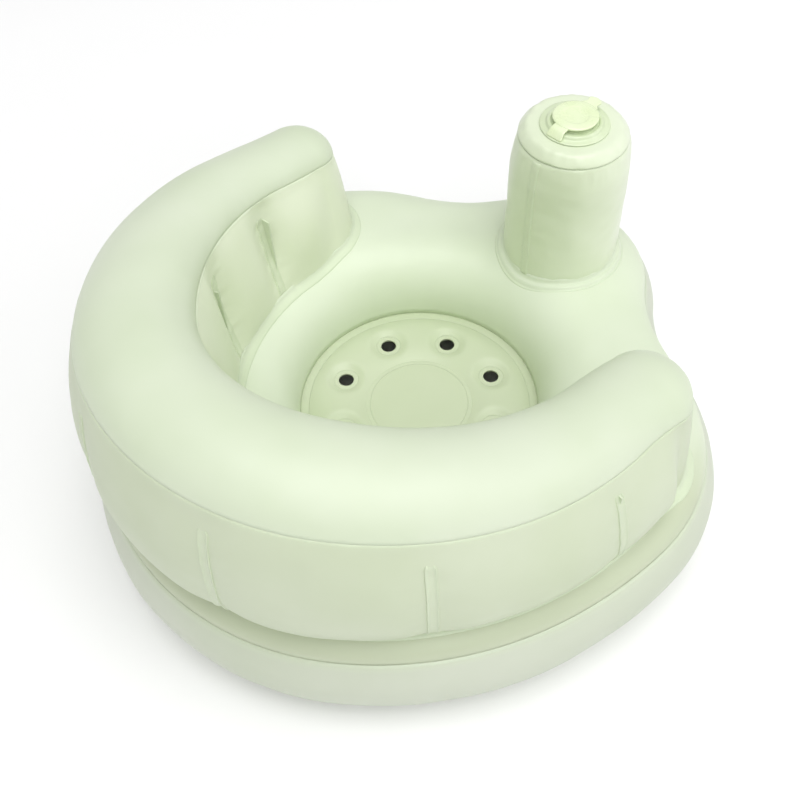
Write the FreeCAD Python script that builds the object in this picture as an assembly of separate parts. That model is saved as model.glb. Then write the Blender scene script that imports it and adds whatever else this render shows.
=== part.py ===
"""Inflatable baby seat: an air-filled base ring round a quilted seat floor, a horseshoe
backrest chamber, and a foam-filled pump post between the legs.

Millimetres, Z up. X runs across the seat, -Y is the front (the post), +Y the backrest.
Everything is drawn round the centre of the round seat floor, with the floor at Z = 0.
At the end it all moves forward together, so that the origin is the middle of the footprint.
Round stretches of a panel's section are a few straight facets, so the model stays light.
"""
import FreeCAD
import Part
import math
import os

Vector = FreeCAD.Vector
ORIGIN = Vector(0, 0, 0)
UP = Vector(0, 0, 1)
ACROSS = Vector(1, 0, 0)
BACK = Vector(0, 1, 0)

# Outline of the base, seen from above: five tangent arcs on each side
BASE_HALF_WIDTH = 258.0
BASE_REAR_REACH = 284.0
BASE_FRONT_REACH = 265.0
SIDE_CENTRE_SHARE = 1.5
BASE_FLANK_ARC_R = 190.0
BASE_WAIST_ARC_R = 126.0
BASE_NOSE_R = 108.0

# Section of the base ring: heights above the floor, insets from the outline
BASE_TOP_Z = 105.0
TOP_SEAM_Z = 90.0
TOP_SEAM_INSET = 12.0
CREST_INSET = 28.0
BULGE_Z = 55.0
BOTTOM_SEAM_Z = 13.0
BOTTOM_SEAM_INSET = 13.0
HEEL_INSET = 46.0
SPINE_INSET = 75.0
CORE_R = 165.0
FILM = 0.8
SHOULDER_FACETS = 2
BULGE_FACETS = 3
HEEL_FACETS = 1

# Seat floor and the well above it
FLOOR_Z = 46.0
WELL_RIM_R = 104.0
WELL_WALL_R = 114.5
WELL_WALL_Z = 92.0
WELL_LIP_R = 130.0
UNDERSIDE_R = 132.0
RIM_WELD_R = 97.0
CENTRE_WELD_R = 43.0
PILLOW_SLOPE_WIDTH = 9.0
FLOOR_CROWN = 4.0
UNDER_CROWN = 9.0
DRAIN_CIRCLE_R = 70.0
DRAIN_HOLE_R = 6.8
DRAIN_COUNT = 8
DRAIN_SIDES = 12
FLOOR_SIDES = 72

# Backrest chamber: its centre line runs parallel to the base outline; then its section
BACKREST_INSET = 72.0
ARM_LENGTH = 41.0
ARM_LEAN = 7.0
WALL_FOOT_HALF = 45.0
WALL_BULGE_HALF = 54.0
WALL_BULGE_Z = 145.0
WALL_TOP_HALF = 43.0
WALL_TOP_Z = 240.0
SEAM_HALF = 42.0
WALL_SEAM_Z = 195.0
SEAM_TILT = 11.5
DOME_HEIGHT = 30.0
DOME_CREST_Z = 23.0
DOME_CREST_X = 27.0
DOME_FLAT_HALF = 9.0
DOME_SHOULDER_BOW = 5.0
BAND_JOIN_ANGLE = 40.0
END_FACET_ANGLE = 14.0
LAP_WIDTH = 8.0
WEB_THICKNESS = 1.0
WEB_BOTTOM_Z = 119.0
WEB_TOP_Z = 187.0
WEB_SIDE_ANGLES = (8.0, 34.0)
WEB_REAR_ANGLE = 19.0

# Pump post
POST_FRONT_INSET = 81.0
POST_FOOT_R = 53.0
POST_SHOULDER_R = 50.7
POST_SHOULDER_Z = 208.0
POST_SEAM_R = 47.0
POST_SEAM_Z = 231.0
POST_DISC_R = 38.0
POST_TOP_Z = 240.0
FOAM_CLEARANCE = 1.5
POST_SIDES = 48
HIDDEN_SIDES = 24

# Valve on top of the post
VALVE_FLANGE_R = 28.3
VALVE_FLANGE_THICKNESS = 1.2
VALVE_STEP_R = 22.5
VALVE_STEP_HEIGHT = 2.6
VALVE_BORE_R = 13.0
CAP_R = 18.6
CAP_THICKNESS = 2.0
CAP_LIFT = 7.0
PLUG_WALL = 1.5
STRAP_WIDTH = 15.0
STRAP_THICKNESS = 1.4
STRAP_BEND = 21.0
STRAP_END_HALF = 0.7
HINGE_INSET = 1.1
TAB_REACH = 27.5
TAB_ROOT_WIDTH = 17.0
TAB_TIP_WIDTH = 9.0
VALVE_SIDES = 36

# One-way inlet valve in the floor of the post
INLET_FLANGE_R = 17.0
INLET_FLANGE_THICKNESS = 1.2
INLET_TUBE_R = 13.0
INLET_BORE_R = 9.5
INLET_TUBE_LENGTH = 9.0
INLET_POCKET_DEPTH = 30.0
FLAP_R = 12.0
FLAP_THICKNESS = 0.9
SPOKE_WIDTH = 2.0

# Deflation valve at the front of the base
DEFLATE_Z = 50.0
DEFLATE_FLANGE_R = 15.0
DEFLATE_FLANGE_THICKNESS = 1.2
DEFLATE_SEAT_DEPTH = 2.6
DEFLATE_TUBE_R = 8.0
DEFLATE_BORE_R = 5.5
DEFLATE_TUBE_LENGTH = 22.0
DEFLATE_CAP_R = 9.0
DEFLATE_CAP_THICKNESS = 1.6
DEFLATE_PLUG_LENGTH = 3.0
DEFLATE_STRAP_WIDTH = 6.0
DEFLATE_HINGE_REACH = 12.0

# Clearances
GAP = 0.3
HINGE_GAP = 0.1
OVERRUN = 5.0


def polar(centre, radius, angle):
    """The point at a radius and an angle (degrees) from a centre in plan."""
    turn = math.radians(angle)
    return Vector(centre[0] + radius * math.cos(turn), centre[1] + radius * math.sin(turn), 0)


def mirrored(arc):
    """The same plan arc on the other side of the seat."""
    x, y = arc["centre"]
    return dict(arc, centre=(-x, y), start=180.0 - arc["start"] - arc["sweep"])


def rear_arcs(half_width, rear_reach):
    """Side and rear arcs, tangent at their joins, of a rounded back seen from above."""
    longer = rear_reach - half_width
    rear_share = (2 * SIDE_CENTRE_SHARE - 1) / (2 * SIDE_CENTRE_SHARE - 2)
    join = math.degrees(math.atan(rear_share / SIDE_CENTRE_SHARE))
    side_x = longer * SIDE_CENTRE_SHARE
    rear_y = longer * rear_share
    side = {"centre": (-side_x, 0), "radius": half_width + side_x, "start": 0, "sweep": join,
            "hollow": False}
    rear = {"centre": (0, rear_y), "radius": rear_reach - rear_y, "start": join,
            "sweep": 180.0 - 2 * join, "hollow": False}
    return side, rear


def base_arcs():
    """The base outline as tangent arcs. A hollow arc bends inwards, at the waist by the post."""
    side, rear = rear_arcs(BASE_HALF_WIDTH, BASE_REAR_REACH)
    flank_x = BASE_HALF_WIDTH - BASE_FLANK_ARC_R
    nose_y = BASE_NOSE_R - BASE_FRONT_REACH
    apart = math.hypot(flank_x, nose_y)
    to_flank = BASE_FLANK_ARC_R + BASE_WAIST_ARC_R
    to_nose = BASE_NOSE_R + BASE_WAIST_ARC_R
    along = (to_flank ** 2 - to_nose ** 2 + apart ** 2) / (2 * apart)
    off = math.sqrt(to_flank ** 2 - along ** 2)
    unit_x, unit_y = -flank_x / apart, nose_y / apart
    waist_x = flank_x + along * unit_x - off * unit_y
    waist_y = along * unit_y + off * unit_x
    flank_join = math.degrees(math.atan2(waist_y, waist_x - flank_x))
    nose_join = math.degrees(math.atan2(waist_y - nose_y, waist_x))
    flank = {"centre": (flank_x, 0), "radius": BASE_FLANK_ARC_R, "start": flank_join,
             "sweep": -flank_join, "hollow": False}
    waist = {"centre": (waist_x, waist_y), "radius": BASE_WAIST_ARC_R,
             "start": 180.0 + flank_join, "sweep": nose_join - flank_join, "hollow": True}
    nose = {"centre": (0, nose_y), "radius": BASE_NOSE_R, "start": -180.0 - nose_join,
            "sweep": 180.0 + 2 * nose_join, "hollow": False}
    return [side, rear, mirrored(side), mirrored(flank), mirrored(waist), nose, waist, flank]


BASE_ARCS = base_arcs()
PATH_HALF_WIDTH = BASE_HALF_WIDTH - BACKREST_INSET
PATH_REAR_REACH = BASE_REAR_REACH - BACKREST_INSET
PATH_ARCS = [dict(arc, radius=arc["radius"] - BACKREST_INSET) for arc in BASE_ARCS[:3]]
PATH_SIDE, PATH_REAR = PATH_ARCS[:2]
POST_CENTRE = (0, POST_FRONT_INSET - BASE_FRONT_REACH)
POST_Y = POST_CENTRE[1]


def polygon_face(points):
    return Part.Face(Part.makePolygon(points + [points[0]]))


def facets(start, middle, end, count):
    """Points that divide the arc through three points into equal facets, both ends included."""
    arc = Part.Arc(start, middle, end)
    step = (arc.LastParameter - arc.FirstParameter) / count
    return [arc.value(arc.FirstParameter + step * i) for i in range(count + 1)]


def outline_face(inset, z):
    """The flat face inside the base outline, drawn in by an inset, at a height."""
    edges = []
    for arc in BASE_ARCS:
        radius = arc["radius"] + inset if arc["hollow"] else arc["radius"] - inset
        centre = Vector(arc["centre"][0], arc["centre"][1], z)
        edges.append(Part.makeCircle(radius, centre, UP, arc["start"], arc["start"] + arc["sweep"]))
    return Part.Face(Part.Wire(Part.__sortEdges__(edges)))


def turned(section, arc):
    """A section drawn round the Z axis, swept along one plan arc."""
    solid = section.revolve(ORIGIN, UP, arc["sweep"])
    solid.rotate(ORIGIN, UP, arc["start"])
    solid.translate(Vector(arc["centre"][0], arc["centre"][1], 0))
    return solid


def joined(pieces):
    """Pieces that touch, made one solid."""
    return pieces[0].fuse(pieces[1:]).removeSplitter()


def spun(profile, centre=(0, 0)):
    """A full turn of a closed profile of (radius, height) points about a vertical axis."""
    solid = polygon_face([Vector(r, 0, z) for r, z in profile]).revolve(ORIGIN, UP, 360)
    solid.translate(Vector(centre[0], centre[1], 0))
    return solid


def cylinder(radius, z0, z1, centre=(0, 0)):
    return Part.makeCylinder(radius, z1 - z0, Vector(centre[0], centre[1], z0), UP)


def slab(x0, x1, y0, y1, z0, z1):
    return Part.makeBox(x1 - x0, y1 - y0, z1 - z0, Vector(x0, y0, z0))


def polyhedron(low, high):
    """The solid between two polygons with matching corners and parallel sides."""
    faces = [polygon_face(low), polygon_face(high)]
    for i in range(len(low)):
        faces.append(polygon_face([low[i - 1], low[i], high[i], high[i - 1]]))
    return Part.Solid(Part.Shell(faces))


def faceted(sides, profile, centre=(0, 0)):
    """A near-round solid with equal flats, through (radius, height) points from the bottom up."""
    turn = 360.0 / sides
    rings = []
    for radius, z in profile:
        rings.append([polar(centre, radius, turn * (i + 0.5)) + Vector(0, 0, z) for i in range(sides)])
    layers = [polyhedron(low, high) for low, high in zip(rings, rings[1:])]
    return joined(layers) if len(layers) > 1 else layers[0]


def prism(sides, radius, z0, z1, centre=(0, 0)):
    return faceted(sides, [(radius, z0), (radius, z1)], centre)


def base_point(arc, inset, z):
    radius = arc["radius"] + inset if arc["hollow"] else arc["radius"] - inset
    return Vector(radius, 0, z)


def rounding(arc, flat_inset, flat_z, seam_inset, seam_z, count):
    """Facets of the round edge from a flat panel to its seam. The arc leaves the flat smoothly."""
    run = flat_inset - seam_inset
    drop = abs(flat_z - seam_z)
    radius = (run ** 2 + drop ** 2) / (2 * drop)
    half = math.asin(run / radius) / 2
    side = 1 if seam_z > flat_z else -1
    middle = base_point(arc, flat_inset - radius * math.sin(half),
                        flat_z + side * radius * (1 - math.cos(half)))
    return facets(base_point(arc, flat_inset, flat_z), middle,
                  base_point(arc, seam_inset, seam_z), count)


def shoulder(arc):
    """Section of the top panel from under its crest to the top seam."""
    return polygon_face([base_point(arc, SPINE_INSET, TOP_SEAM_Z), base_point(arc, SPINE_INSET, BASE_TOP_Z)]
                        + rounding(arc, CREST_INSET, BASE_TOP_Z, TOP_SEAM_INSET, TOP_SEAM_Z,
                                   SHOULDER_FACETS))


def side_slice(arc):
    """Section of the side band: the wall bulges between its two seams."""
    top = base_point(arc, TOP_SEAM_INSET, TOP_SEAM_Z)
    bulge = base_point(arc, 0, BULGE_Z)
    bottom = base_point(arc, BOTTOM_SEAM_INSET, BOTTOM_SEAM_Z)
    return polygon_face([base_point(arc, SPINE_INSET, BOTTOM_SEAM_Z), base_point(arc, SPINE_INSET, TOP_SEAM_Z)]
                        + facets(top, bulge, bottom, BULGE_FACETS))


def heel(arc):
    """Section of the bottom panel from the floor to the bottom seam."""
    return polygon_face([base_point(arc, SPINE_INSET, BOTTOM_SEAM_Z), base_point(arc, SPINE_INSET, 0)]
                        + rounding(arc, HEEL_INSET, 0, BOTTOM_SEAM_INSET, BOTTOM_SEAM_Z, HEEL_FACETS))


def base_layer(section, z0, z1):
    """A layer of the base between two heights, with the section all round its edge."""
    middle = outline_face(SPINE_INSET, z0).extrude(Vector(0, 0, z1 - z0))
    return joined([middle] + [turned(section(arc), arc) for arc in BASE_ARCS])


def inlet_pocket():
    """The pocket under the post that takes the inlet valve."""
    return cylinder(INLET_TUBE_R + GAP, BASE_TOP_Z - INLET_POCKET_DEPTH, BASE_TOP_Z + OVERRUN, POST_CENTRE)


def base_top_panel():
    """Top panel: over the crest of the ring and down the well to the seat floor."""
    panel = base_layer(shoulder, TOP_SEAM_Z, BASE_TOP_Z).fuse(cylinder(CORE_R, FLOOR_Z, TOP_SEAM_Z))
    well = spun([(0, FLOOR_Z - OVERRUN), (WELL_RIM_R, FLOOR_Z - OVERRUN), (WELL_RIM_R, FLOOR_Z),
                 (WELL_WALL_R, WELL_WALL_Z), (WELL_LIP_R, BASE_TOP_Z),
                 (WELL_LIP_R, BASE_TOP_Z + OVERRUN), (0, BASE_TOP_Z + OVERRUN)])
    return panel.cut(well).cut(inlet_pocket()).removeSplitter()


def along_y(radius, y0, y1):
    """A near-round bar on the deflation valve's axis."""
    bar = prism(HIDDEN_SIDES, radius, y0, y1)
    bar.rotate(ORIGIN, ACROSS, -90)
    bar.translate(Vector(0, 0, DEFLATE_Z))
    return bar


def base_side_band():
    """Side band between the two seams, with the seat of the deflation valve at the front."""
    seat_y = DEFLATE_SEAT_DEPTH - BASE_FRONT_REACH
    band = base_layer(side_slice, BOTTOM_SEAM_Z, TOP_SEAM_Z)
    for cutter in (cylinder(CORE_R, BOTTOM_SEAM_Z, TOP_SEAM_Z), inlet_pocket(),
                   along_y(DEFLATE_FLANGE_R + GAP, -BASE_FRONT_REACH - OVERRUN, seat_y),
                   along_y(DEFLATE_TUBE_R + GAP, seat_y - OVERRUN, seat_y + DEFLATE_TUBE_LENGTH + OVERRUN)):
        band = band.cut(cutter)
    return band


def base_bottom_panel():
    """Bottom panel: flat on the floor, turned up inside to the seat floor."""
    panel = base_layer(heel, 0, BOTTOM_SEAM_Z).fuse(cylinder(CORE_R, BOTTOM_SEAM_Z, FLOOR_Z))
    under = spun([(0, -OVERRUN), (UNDERSIDE_R, -OVERRUN), (UNDERSIDE_R, 0), (WELL_RIM_R, FLOOR_Z),
                  (WELL_RIM_R, FLOOR_Z + OVERRUN), (0, FLOOR_Z + OVERRUN)])
    return panel.cut(under).removeSplitter()


def drain_holes():
    """Cutters for the drain holes, half a step off the front line."""
    step = 360.0 / DRAIN_COUNT
    places = [polar((0, 0), DRAIN_CIRCLE_R, step * (i + 0.5)) for i in range(DRAIN_COUNT)]
    z0 = FLOOR_Z - UNDER_CROWN - OVERRUN
    z1 = FLOOR_Z + FLOOR_CROWN + OVERRUN
    return [prism(DRAIN_SIDES, DRAIN_HOLE_R, z0, z1, (p.x, p.y)) for p in places]


def seat_floor_upper_skin():
    """Upper skin of the seat floor: a soft ring that swells between the rim and the centre weld."""
    weld_z = FLOOR_Z + FILM
    top = weld_z + FLOOR_CROWN
    skin = faceted(FLOOR_SIDES, [(WELL_RIM_R - GAP, FLOOR_Z), (WELL_RIM_R - GAP, weld_z),
                                 (RIM_WELD_R - PILLOW_SLOPE_WIDTH, top)])
    skin = skin.cut(faceted(FLOOR_SIDES, [(CENTRE_WELD_R, weld_z), (CENTRE_WELD_R + PILLOW_SLOPE_WIDTH, top)]))
    for hole in drain_holes():
        skin = skin.cut(hole)
    return skin


def seat_floor_lower_skin():
    """Lower skin of the seat floor, which sags clear of the ground."""
    skin = faceted(FLOOR_SIDES, [(RIM_WELD_R - PILLOW_SLOPE_WIDTH, FLOOR_Z - UNDER_CROWN),
                                 (WELL_RIM_R - GAP, FLOOR_Z - FILM), (WELL_RIM_R - GAP, FLOOR_Z)])
    for hole in drain_holes():
        skin = skin.cut(hole)
    return skin


def wall_share(z):
    """How far up the backrest's wall a height is: 0 at its foot, 1 at its seam."""
    return (z - BASE_TOP_Z) / (WALL_SEAM_Z - BASE_TOP_Z)


def wall_half(z):
    """Half the backrest's width at a height: widest at the bulge, narrower up to the seam."""
    if z < WALL_BULGE_Z:
        return WALL_BULGE_HALF - (WALL_BULGE_HALF - WALL_FOOT_HALF) * (
            (WALL_BULGE_Z - z) / (WALL_BULGE_Z - BASE_TOP_Z))
    return WALL_BULGE_HALF - (WALL_BULGE_HALF - WALL_TOP_HALF) * (
        (z - WALL_BULGE_Z) / (WALL_TOP_Z - WALL_BULGE_Z))


def tip_y(z):
    """Where the arm's round end is centred: the ends lean forward as they rise."""
    return -ARM_LENGTH - ARM_LEAN * wall_share(z)


def wall_levels():
    """Heights below the wall's foot, at its bulge, and above its highest seam, before trimming."""
    rise = BASE_REAR_REACH * math.tan(math.radians(SEAM_TILT))
    return TOP_SEAM_Z + OVERRUN, WALL_BULGE_Z, WALL_SEAM_Z + rise


def wall_slice(radius, sign):
    """Half of the backrest's section, from its centre line out or in to the wall."""
    levels = wall_levels()
    side = [Vector(radius + sign * wall_half(z), 0, z) for z in levels]
    return polygon_face([Vector(radius, 0, levels[0])] + side + [Vector(radius, 0, levels[-1])])


def arm_half(outward):
    """The outer or inner half of the arm at +X and of its faceted round end.

    The outer half stops where the two bands join, a little way round the end.
    """
    first, last = (0, -BAND_JOIN_ANGLE) if outward else (-BAND_JOIN_ANGLE, -180.0)
    count = math.ceil((first - last) / END_FACET_ANGLE)
    rings = []
    for z in wall_levels():
        centre = (PATH_HALF_WIDTH, tip_y(z))
        ends = [polar(centre, wall_half(z), first + (last - first) * i / count) for i in range(count + 1)]
        root = Vector(ends[0].x if outward else ends[-1].x, 0, 0)
        inside = [Vector(centre[0], centre[1], 0), Vector(centre[0], 0, 0)]
        ring = [root] + ends + inside if outward else ends + [root] + inside[::-1]
        rings.append([p + Vector(0, 0, z) for p in ring])
    return joined([polyhedron(low, high) for low, high in zip(rings, rings[1:])])


def seam_cut():
    """Everything above the backrest's top seam, which rises to the rear."""
    reach = 2 * BASE_REAR_REACH
    block = Part.makeBox(2 * reach, 2 * reach, reach, Vector(-reach, -reach, 0))
    block.rotate(ORIGIN, ACROSS, SEAM_TILT)
    block.translate(Vector(0, 0, WALL_SEAM_Z))
    return block


def webs(growth):
    """The inner webs that tie the two walls together, grown on every side by a clearance."""
    places = [(PATH_REAR, 90.0 - WEB_REAR_ANGLE), (PATH_REAR, 90.0 + WEB_REAR_ANGLE)]
    for angle in WEB_SIDE_ANGLES:
        places += [(PATH_SIDE, angle), (mirrored(PATH_SIDE), 180.0 - angle)]
    half = SEAM_HALF - 2 * GAP + growth
    plates = []
    for arc, angle in places:
        corner = Vector(arc["radius"] - half, -WEB_THICKNESS / 2 - growth, WEB_BOTTOM_Z - growth)
        plate = Part.makeBox(2 * half, WEB_THICKNESS + 2 * growth,
                             WEB_TOP_Z - WEB_BOTTOM_Z + 2 * growth, corner)
        plate.rotate(ORIGIN, UP, angle)
        plate.translate(Vector(arc["centre"][0], arc["centre"][1], 0))
        plates.append(plate)
    return plates


def backrest_wall(outward, top_panel):
    """The outer or inner half of the backrest chamber, from the base up to its top seam."""
    arm = arm_half(outward)
    pieces = [turned(wall_slice(arc["radius"], 1 if outward else -1), arc) for arc in PATH_ARCS]
    wall = joined(pieces + [arm, arm.mirror(ORIGIN, ACROSS)])
    wall = wall.cut(seam_cut()).cut(top_panel.translated(Vector(0, 0, GAP)))
    for slot in webs(GAP):
        wall = wall.cut(slot)
    return wall


def dome_half():
    """Half of the dome's section, from the top seam over a round shoulder to its crown."""
    seam = Vector(SEAM_HALF, 0, 0)
    crest = Vector(DOME_CREST_X, 0, DOME_CREST_Z)
    out = Vector(DOME_CREST_Z, 0, SEAM_HALF - DOME_CREST_X).normalize()
    bow = (seam + crest) / 2 + out * DOME_SHOULDER_BOW
    return [seam, bow, crest, Vector(DOME_FLAT_HALF, 0, DOME_HEIGHT)]


def backrest_top_panel():
    """The domed top panel of the backrest, laid on the tilted top seam."""
    half = dome_half()
    whole = half + [Vector(-p.x, 0, p.z) for p in reversed(half)]
    slope = math.cos(math.radians(SEAM_TILT))
    end_y = tip_y(WALL_SEAM_Z) / slope
    side_arc, rear_arc = rear_arcs(PATH_HALF_WIDTH, PATH_REAR_REACH / slope)
    pieces = []
    for arc in (side_arc, rear_arc, mirrored(side_arc)):
        shift = Vector(arc["radius"], 0, 0)
        pieces.append(turned(polygon_face([p + shift for p in whole]), arc))
    for side in (1, -1):
        centre = Vector(side * PATH_HALF_WIDTH, 0, 0)
        pieces.append(polygon_face([p + centre for p in whole]).extrude(Vector(0, end_y, 0)))
        end = polygon_face([ORIGIN] + half + [Vector(0, 0, DOME_HEIGHT)]).revolve(ORIGIN, UP, 180)
        end.rotate(ORIGIN, UP, 180)
        end.translate(centre + Vector(0, end_y, 0))
        pieces.append(end)
    dome = joined(pieces)
    dome.rotate(ORIGIN, ACROSS, SEAM_TILT)
    dome.translate(Vector(0, 0, WALL_SEAM_Z))
    return dome


def arm_end_lap_seams():
    """The strips on the arm ends where the outer band laps over the inner band."""
    tangent = polar((0, 0), 1, -BAND_JOIN_ANGLE - 90.0)
    outward = polar((0, 0), 1, -BAND_JOIN_ANGLE)
    rings = []
    top = WALL_SEAM_Z - (ARM_LENGTH + 2 * SEAM_HALF) * math.tan(math.radians(SEAM_TILT))
    for z in (WALL_BULGE_Z, top):
        corner = polar((PATH_HALF_WIDTH, tip_y(z)), wall_half(z), -BAND_JOIN_ANGLE) + Vector(0, 0, z)
        inner = corner + outward * GAP
        rings.append([inner, inner + tangent * LAP_WIDTH, inner + tangent * LAP_WIDTH + outward * FILM,
                      inner + outward * FILM])
    strip = polyhedron(rings[0], rings[1])
    return Part.Compound([strip, strip.mirror(ORIGIN, ACROSS)])


def post_profile(inset, z0, z1):
    """Points up the post's side, drawn in by an inset, between two heights."""
    return [(POST_FOOT_R - inset, z0), (POST_SHOULDER_R - inset, POST_SHOULDER_Z), (POST_SEAM_R - inset, z1)]


def post_sleeve():
    z0, z1 = BASE_TOP_Z + GAP, POST_SEAM_Z - GAP
    outside = faceted(POST_SIDES, post_profile(0, z0, z1), POST_CENTRE)
    return outside.cut(faceted(POST_SIDES, post_profile(FILM, z0, z1), POST_CENTRE))


def post_lap_seam():
    """The strip on the seat side of the post where its sleeve closes."""
    z0, z1 = BASE_TOP_Z + 2 * GAP, POST_SEAM_Z - GAP
    points = post_profile(-GAP, z0, z1) + post_profile(-GAP - FILM, z0, z1)[::-1]
    face = polygon_face([Vector(-LAP_WIDTH / 2, POST_Y + r, z) for r, z in points])
    return face.extrude(Vector(LAP_WIDTH, 0, 0))


def post_top_panel():
    """The top of the post: a flat disc in a sloped border, bored for the valve."""
    panel = faceted(POST_SIDES, [(POST_SEAM_R, POST_SEAM_Z), (POST_DISC_R, POST_TOP_Z)], POST_CENTRE)
    return panel.cut(prism(VALVE_SIDES, VALVE_BORE_R, POST_SEAM_Z, POST_TOP_Z, POST_CENTRE))


def pump_foam():
    """The block of open foam that fills the post and springs it back up."""
    z0 = BASE_TOP_Z + GAP + INLET_FLANGE_THICKNESS + GAP
    return prism(HIDDEN_SIDES, POST_SEAM_R - FILM - FOAM_CLEARANCE, z0, POST_SEAM_Z - GAP, POST_CENTRE)


FLANGE_Z = POST_TOP_Z + GAP
FLANGE_TOP_Z = FLANGE_Z + VALVE_FLANGE_THICKNESS
CAP_Z = POST_TOP_Z + CAP_LIFT
HINGE_Y = POST_Y + VALVE_FLANGE_R - HINGE_INSET
HINGE_Z = FLANGE_TOP_Z + HINGE_GAP + STRAP_END_HALF


def pump_valve_flange():
    """The valve's round flange with a raised collar round its bore."""
    top = FLANGE_TOP_Z + VALVE_STEP_HEIGHT
    flange = prism(VALVE_SIDES, VALVE_FLANGE_R, FLANGE_Z, FLANGE_TOP_Z, POST_CENTRE)
    collar = prism(VALVE_SIDES, VALVE_STEP_R, FLANGE_Z, top, POST_CENTRE)
    return flange.fuse(collar).cut(prism(VALVE_SIDES, VALVE_BORE_R, FLANGE_Z, top, POST_CENTRE)).removeSplitter()


def pump_valve_cap():
    """The valve's cap with its plug, pull tab and strap, moulded in one."""
    plug_r = VALVE_BORE_R - 2 * GAP
    disc = prism(VALVE_SIDES, CAP_R, CAP_Z, CAP_Z + CAP_THICKNESS, POST_CENTRE)
    plug = prism(VALVE_SIDES, plug_r, FLANGE_Z, CAP_Z, POST_CENTRE).cut(
        prism(VALVE_SIDES, plug_r - PLUG_WALL, FLANGE_Z, CAP_Z, POST_CENTRE))
    root_y, tip = POST_Y - CAP_R + CAP_THICKNESS, POST_Y - TAB_REACH
    tab = polygon_face([Vector(-TAB_ROOT_WIDTH / 2, root_y, CAP_Z), Vector(TAB_ROOT_WIDTH / 2, root_y, CAP_Z),
                        Vector(TAB_TIP_WIDTH / 2, tip, CAP_Z), Vector(-TAB_TIP_WIDTH / 2, tip, CAP_Z)])
    tab = tab.extrude(Vector(0, 0, CAP_THICKNESS))
    strap_z = CAP_Z + STRAP_THICKNESS
    bend_y = POST_Y + STRAP_BEND
    start_y = POST_Y + CAP_R - STRAP_THICKNESS - STRAP_END_HALF
    section = [(start_y, CAP_Z), (bend_y, CAP_Z), (HINGE_Y - STRAP_END_HALF, HINGE_Z),
               (HINGE_Y, HINGE_Z - STRAP_END_HALF), (HINGE_Y + STRAP_END_HALF, HINGE_Z),
               (bend_y + STRAP_THICKNESS, strap_z), (start_y, strap_z)]
    strap = polygon_face([Vector(-STRAP_WIDTH / 2, y, z) for y, z in section]).extrude(
        Vector(STRAP_WIDTH, 0, 0))
    return joined([disc, plug, tab, strap])


def inlet_valve_body():
    """The inlet valve in the post's floor: a flanged tube with a cross of spokes."""
    top = BASE_TOP_Z + GAP + INLET_FLANGE_THICKNESS
    low = BASE_TOP_Z - INLET_TUBE_LENGTH
    body = prism(HIDDEN_SIDES, INLET_FLANGE_R, BASE_TOP_Z + GAP, top, POST_CENTRE).fuse(
        prism(HIDDEN_SIDES, INLET_TUBE_R, low, top, POST_CENTRE)).cut(
        prism(HIDDEN_SIDES, INLET_BORE_R, low - OVERRUN, top + OVERRUN, POST_CENTRE))
    bar = Part.makeBox(2 * INLET_BORE_R + SPOKE_WIDTH, SPOKE_WIDTH, top - BASE_TOP_Z,
                       Vector(-INLET_BORE_R - SPOKE_WIDTH / 2, POST_Y - SPOKE_WIDTH / 2, BASE_TOP_Z))
    other = bar.copy()
    other.rotate(Vector(0, POST_Y, 0), UP, 90)
    return joined([body, bar, other])


def inlet_valve_flap():
    """The thin disc that closes the inlet valve from below and hangs from its seat side."""
    top = BASE_TOP_Z - INLET_TUBE_LENGTH - GAP
    return prism(HIDDEN_SIDES, FLAP_R, top - FLAP_THICKNESS, top, POST_CENTRE)


SEAT_Y = DEFLATE_SEAT_DEPTH - BASE_FRONT_REACH
DEFLATE_FACE_Y = SEAT_Y - GAP - DEFLATE_FLANGE_THICKNESS
DEFLATE_CAP_Y = DEFLATE_FACE_Y - GAP
DEFLATE_HINGE_Z = DEFLATE_Z - DEFLATE_HINGE_REACH


def deflation_valve_body():
    """The deflation valve: a flange in its seat, with a tube into the base."""
    body = along_y(DEFLATE_FLANGE_R, DEFLATE_FACE_Y, SEAT_Y - GAP).fuse(
        along_y(DEFLATE_TUBE_R, DEFLATE_FACE_Y, SEAT_Y + DEFLATE_TUBE_LENGTH))
    return joined([body]).cut(
        along_y(DEFLATE_BORE_R, DEFLATE_FACE_Y - OVERRUN, SEAT_Y + DEFLATE_TUBE_LENGTH + OVERRUN))


def deflation_valve_plug():
    """The deflation valve's plug with its cap and the strap that hinges it below the tube."""
    outer_y = DEFLATE_CAP_Y - DEFLATE_CAP_THICKNESS
    strap = Part.makeBox(DEFLATE_STRAP_WIDTH, DEFLATE_CAP_THICKNESS, DEFLATE_HINGE_REACH,
                         Vector(-DEFLATE_STRAP_WIDTH / 2, outer_y, DEFLATE_HINGE_Z))
    return joined([along_y(DEFLATE_CAP_R, outer_y, DEFLATE_CAP_Y),
                   along_y(DEFLATE_BORE_R - 2 * GAP, outer_y, DEFLATE_CAP_Y + DEFLATE_PLUG_LENGTH), strap])


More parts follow.
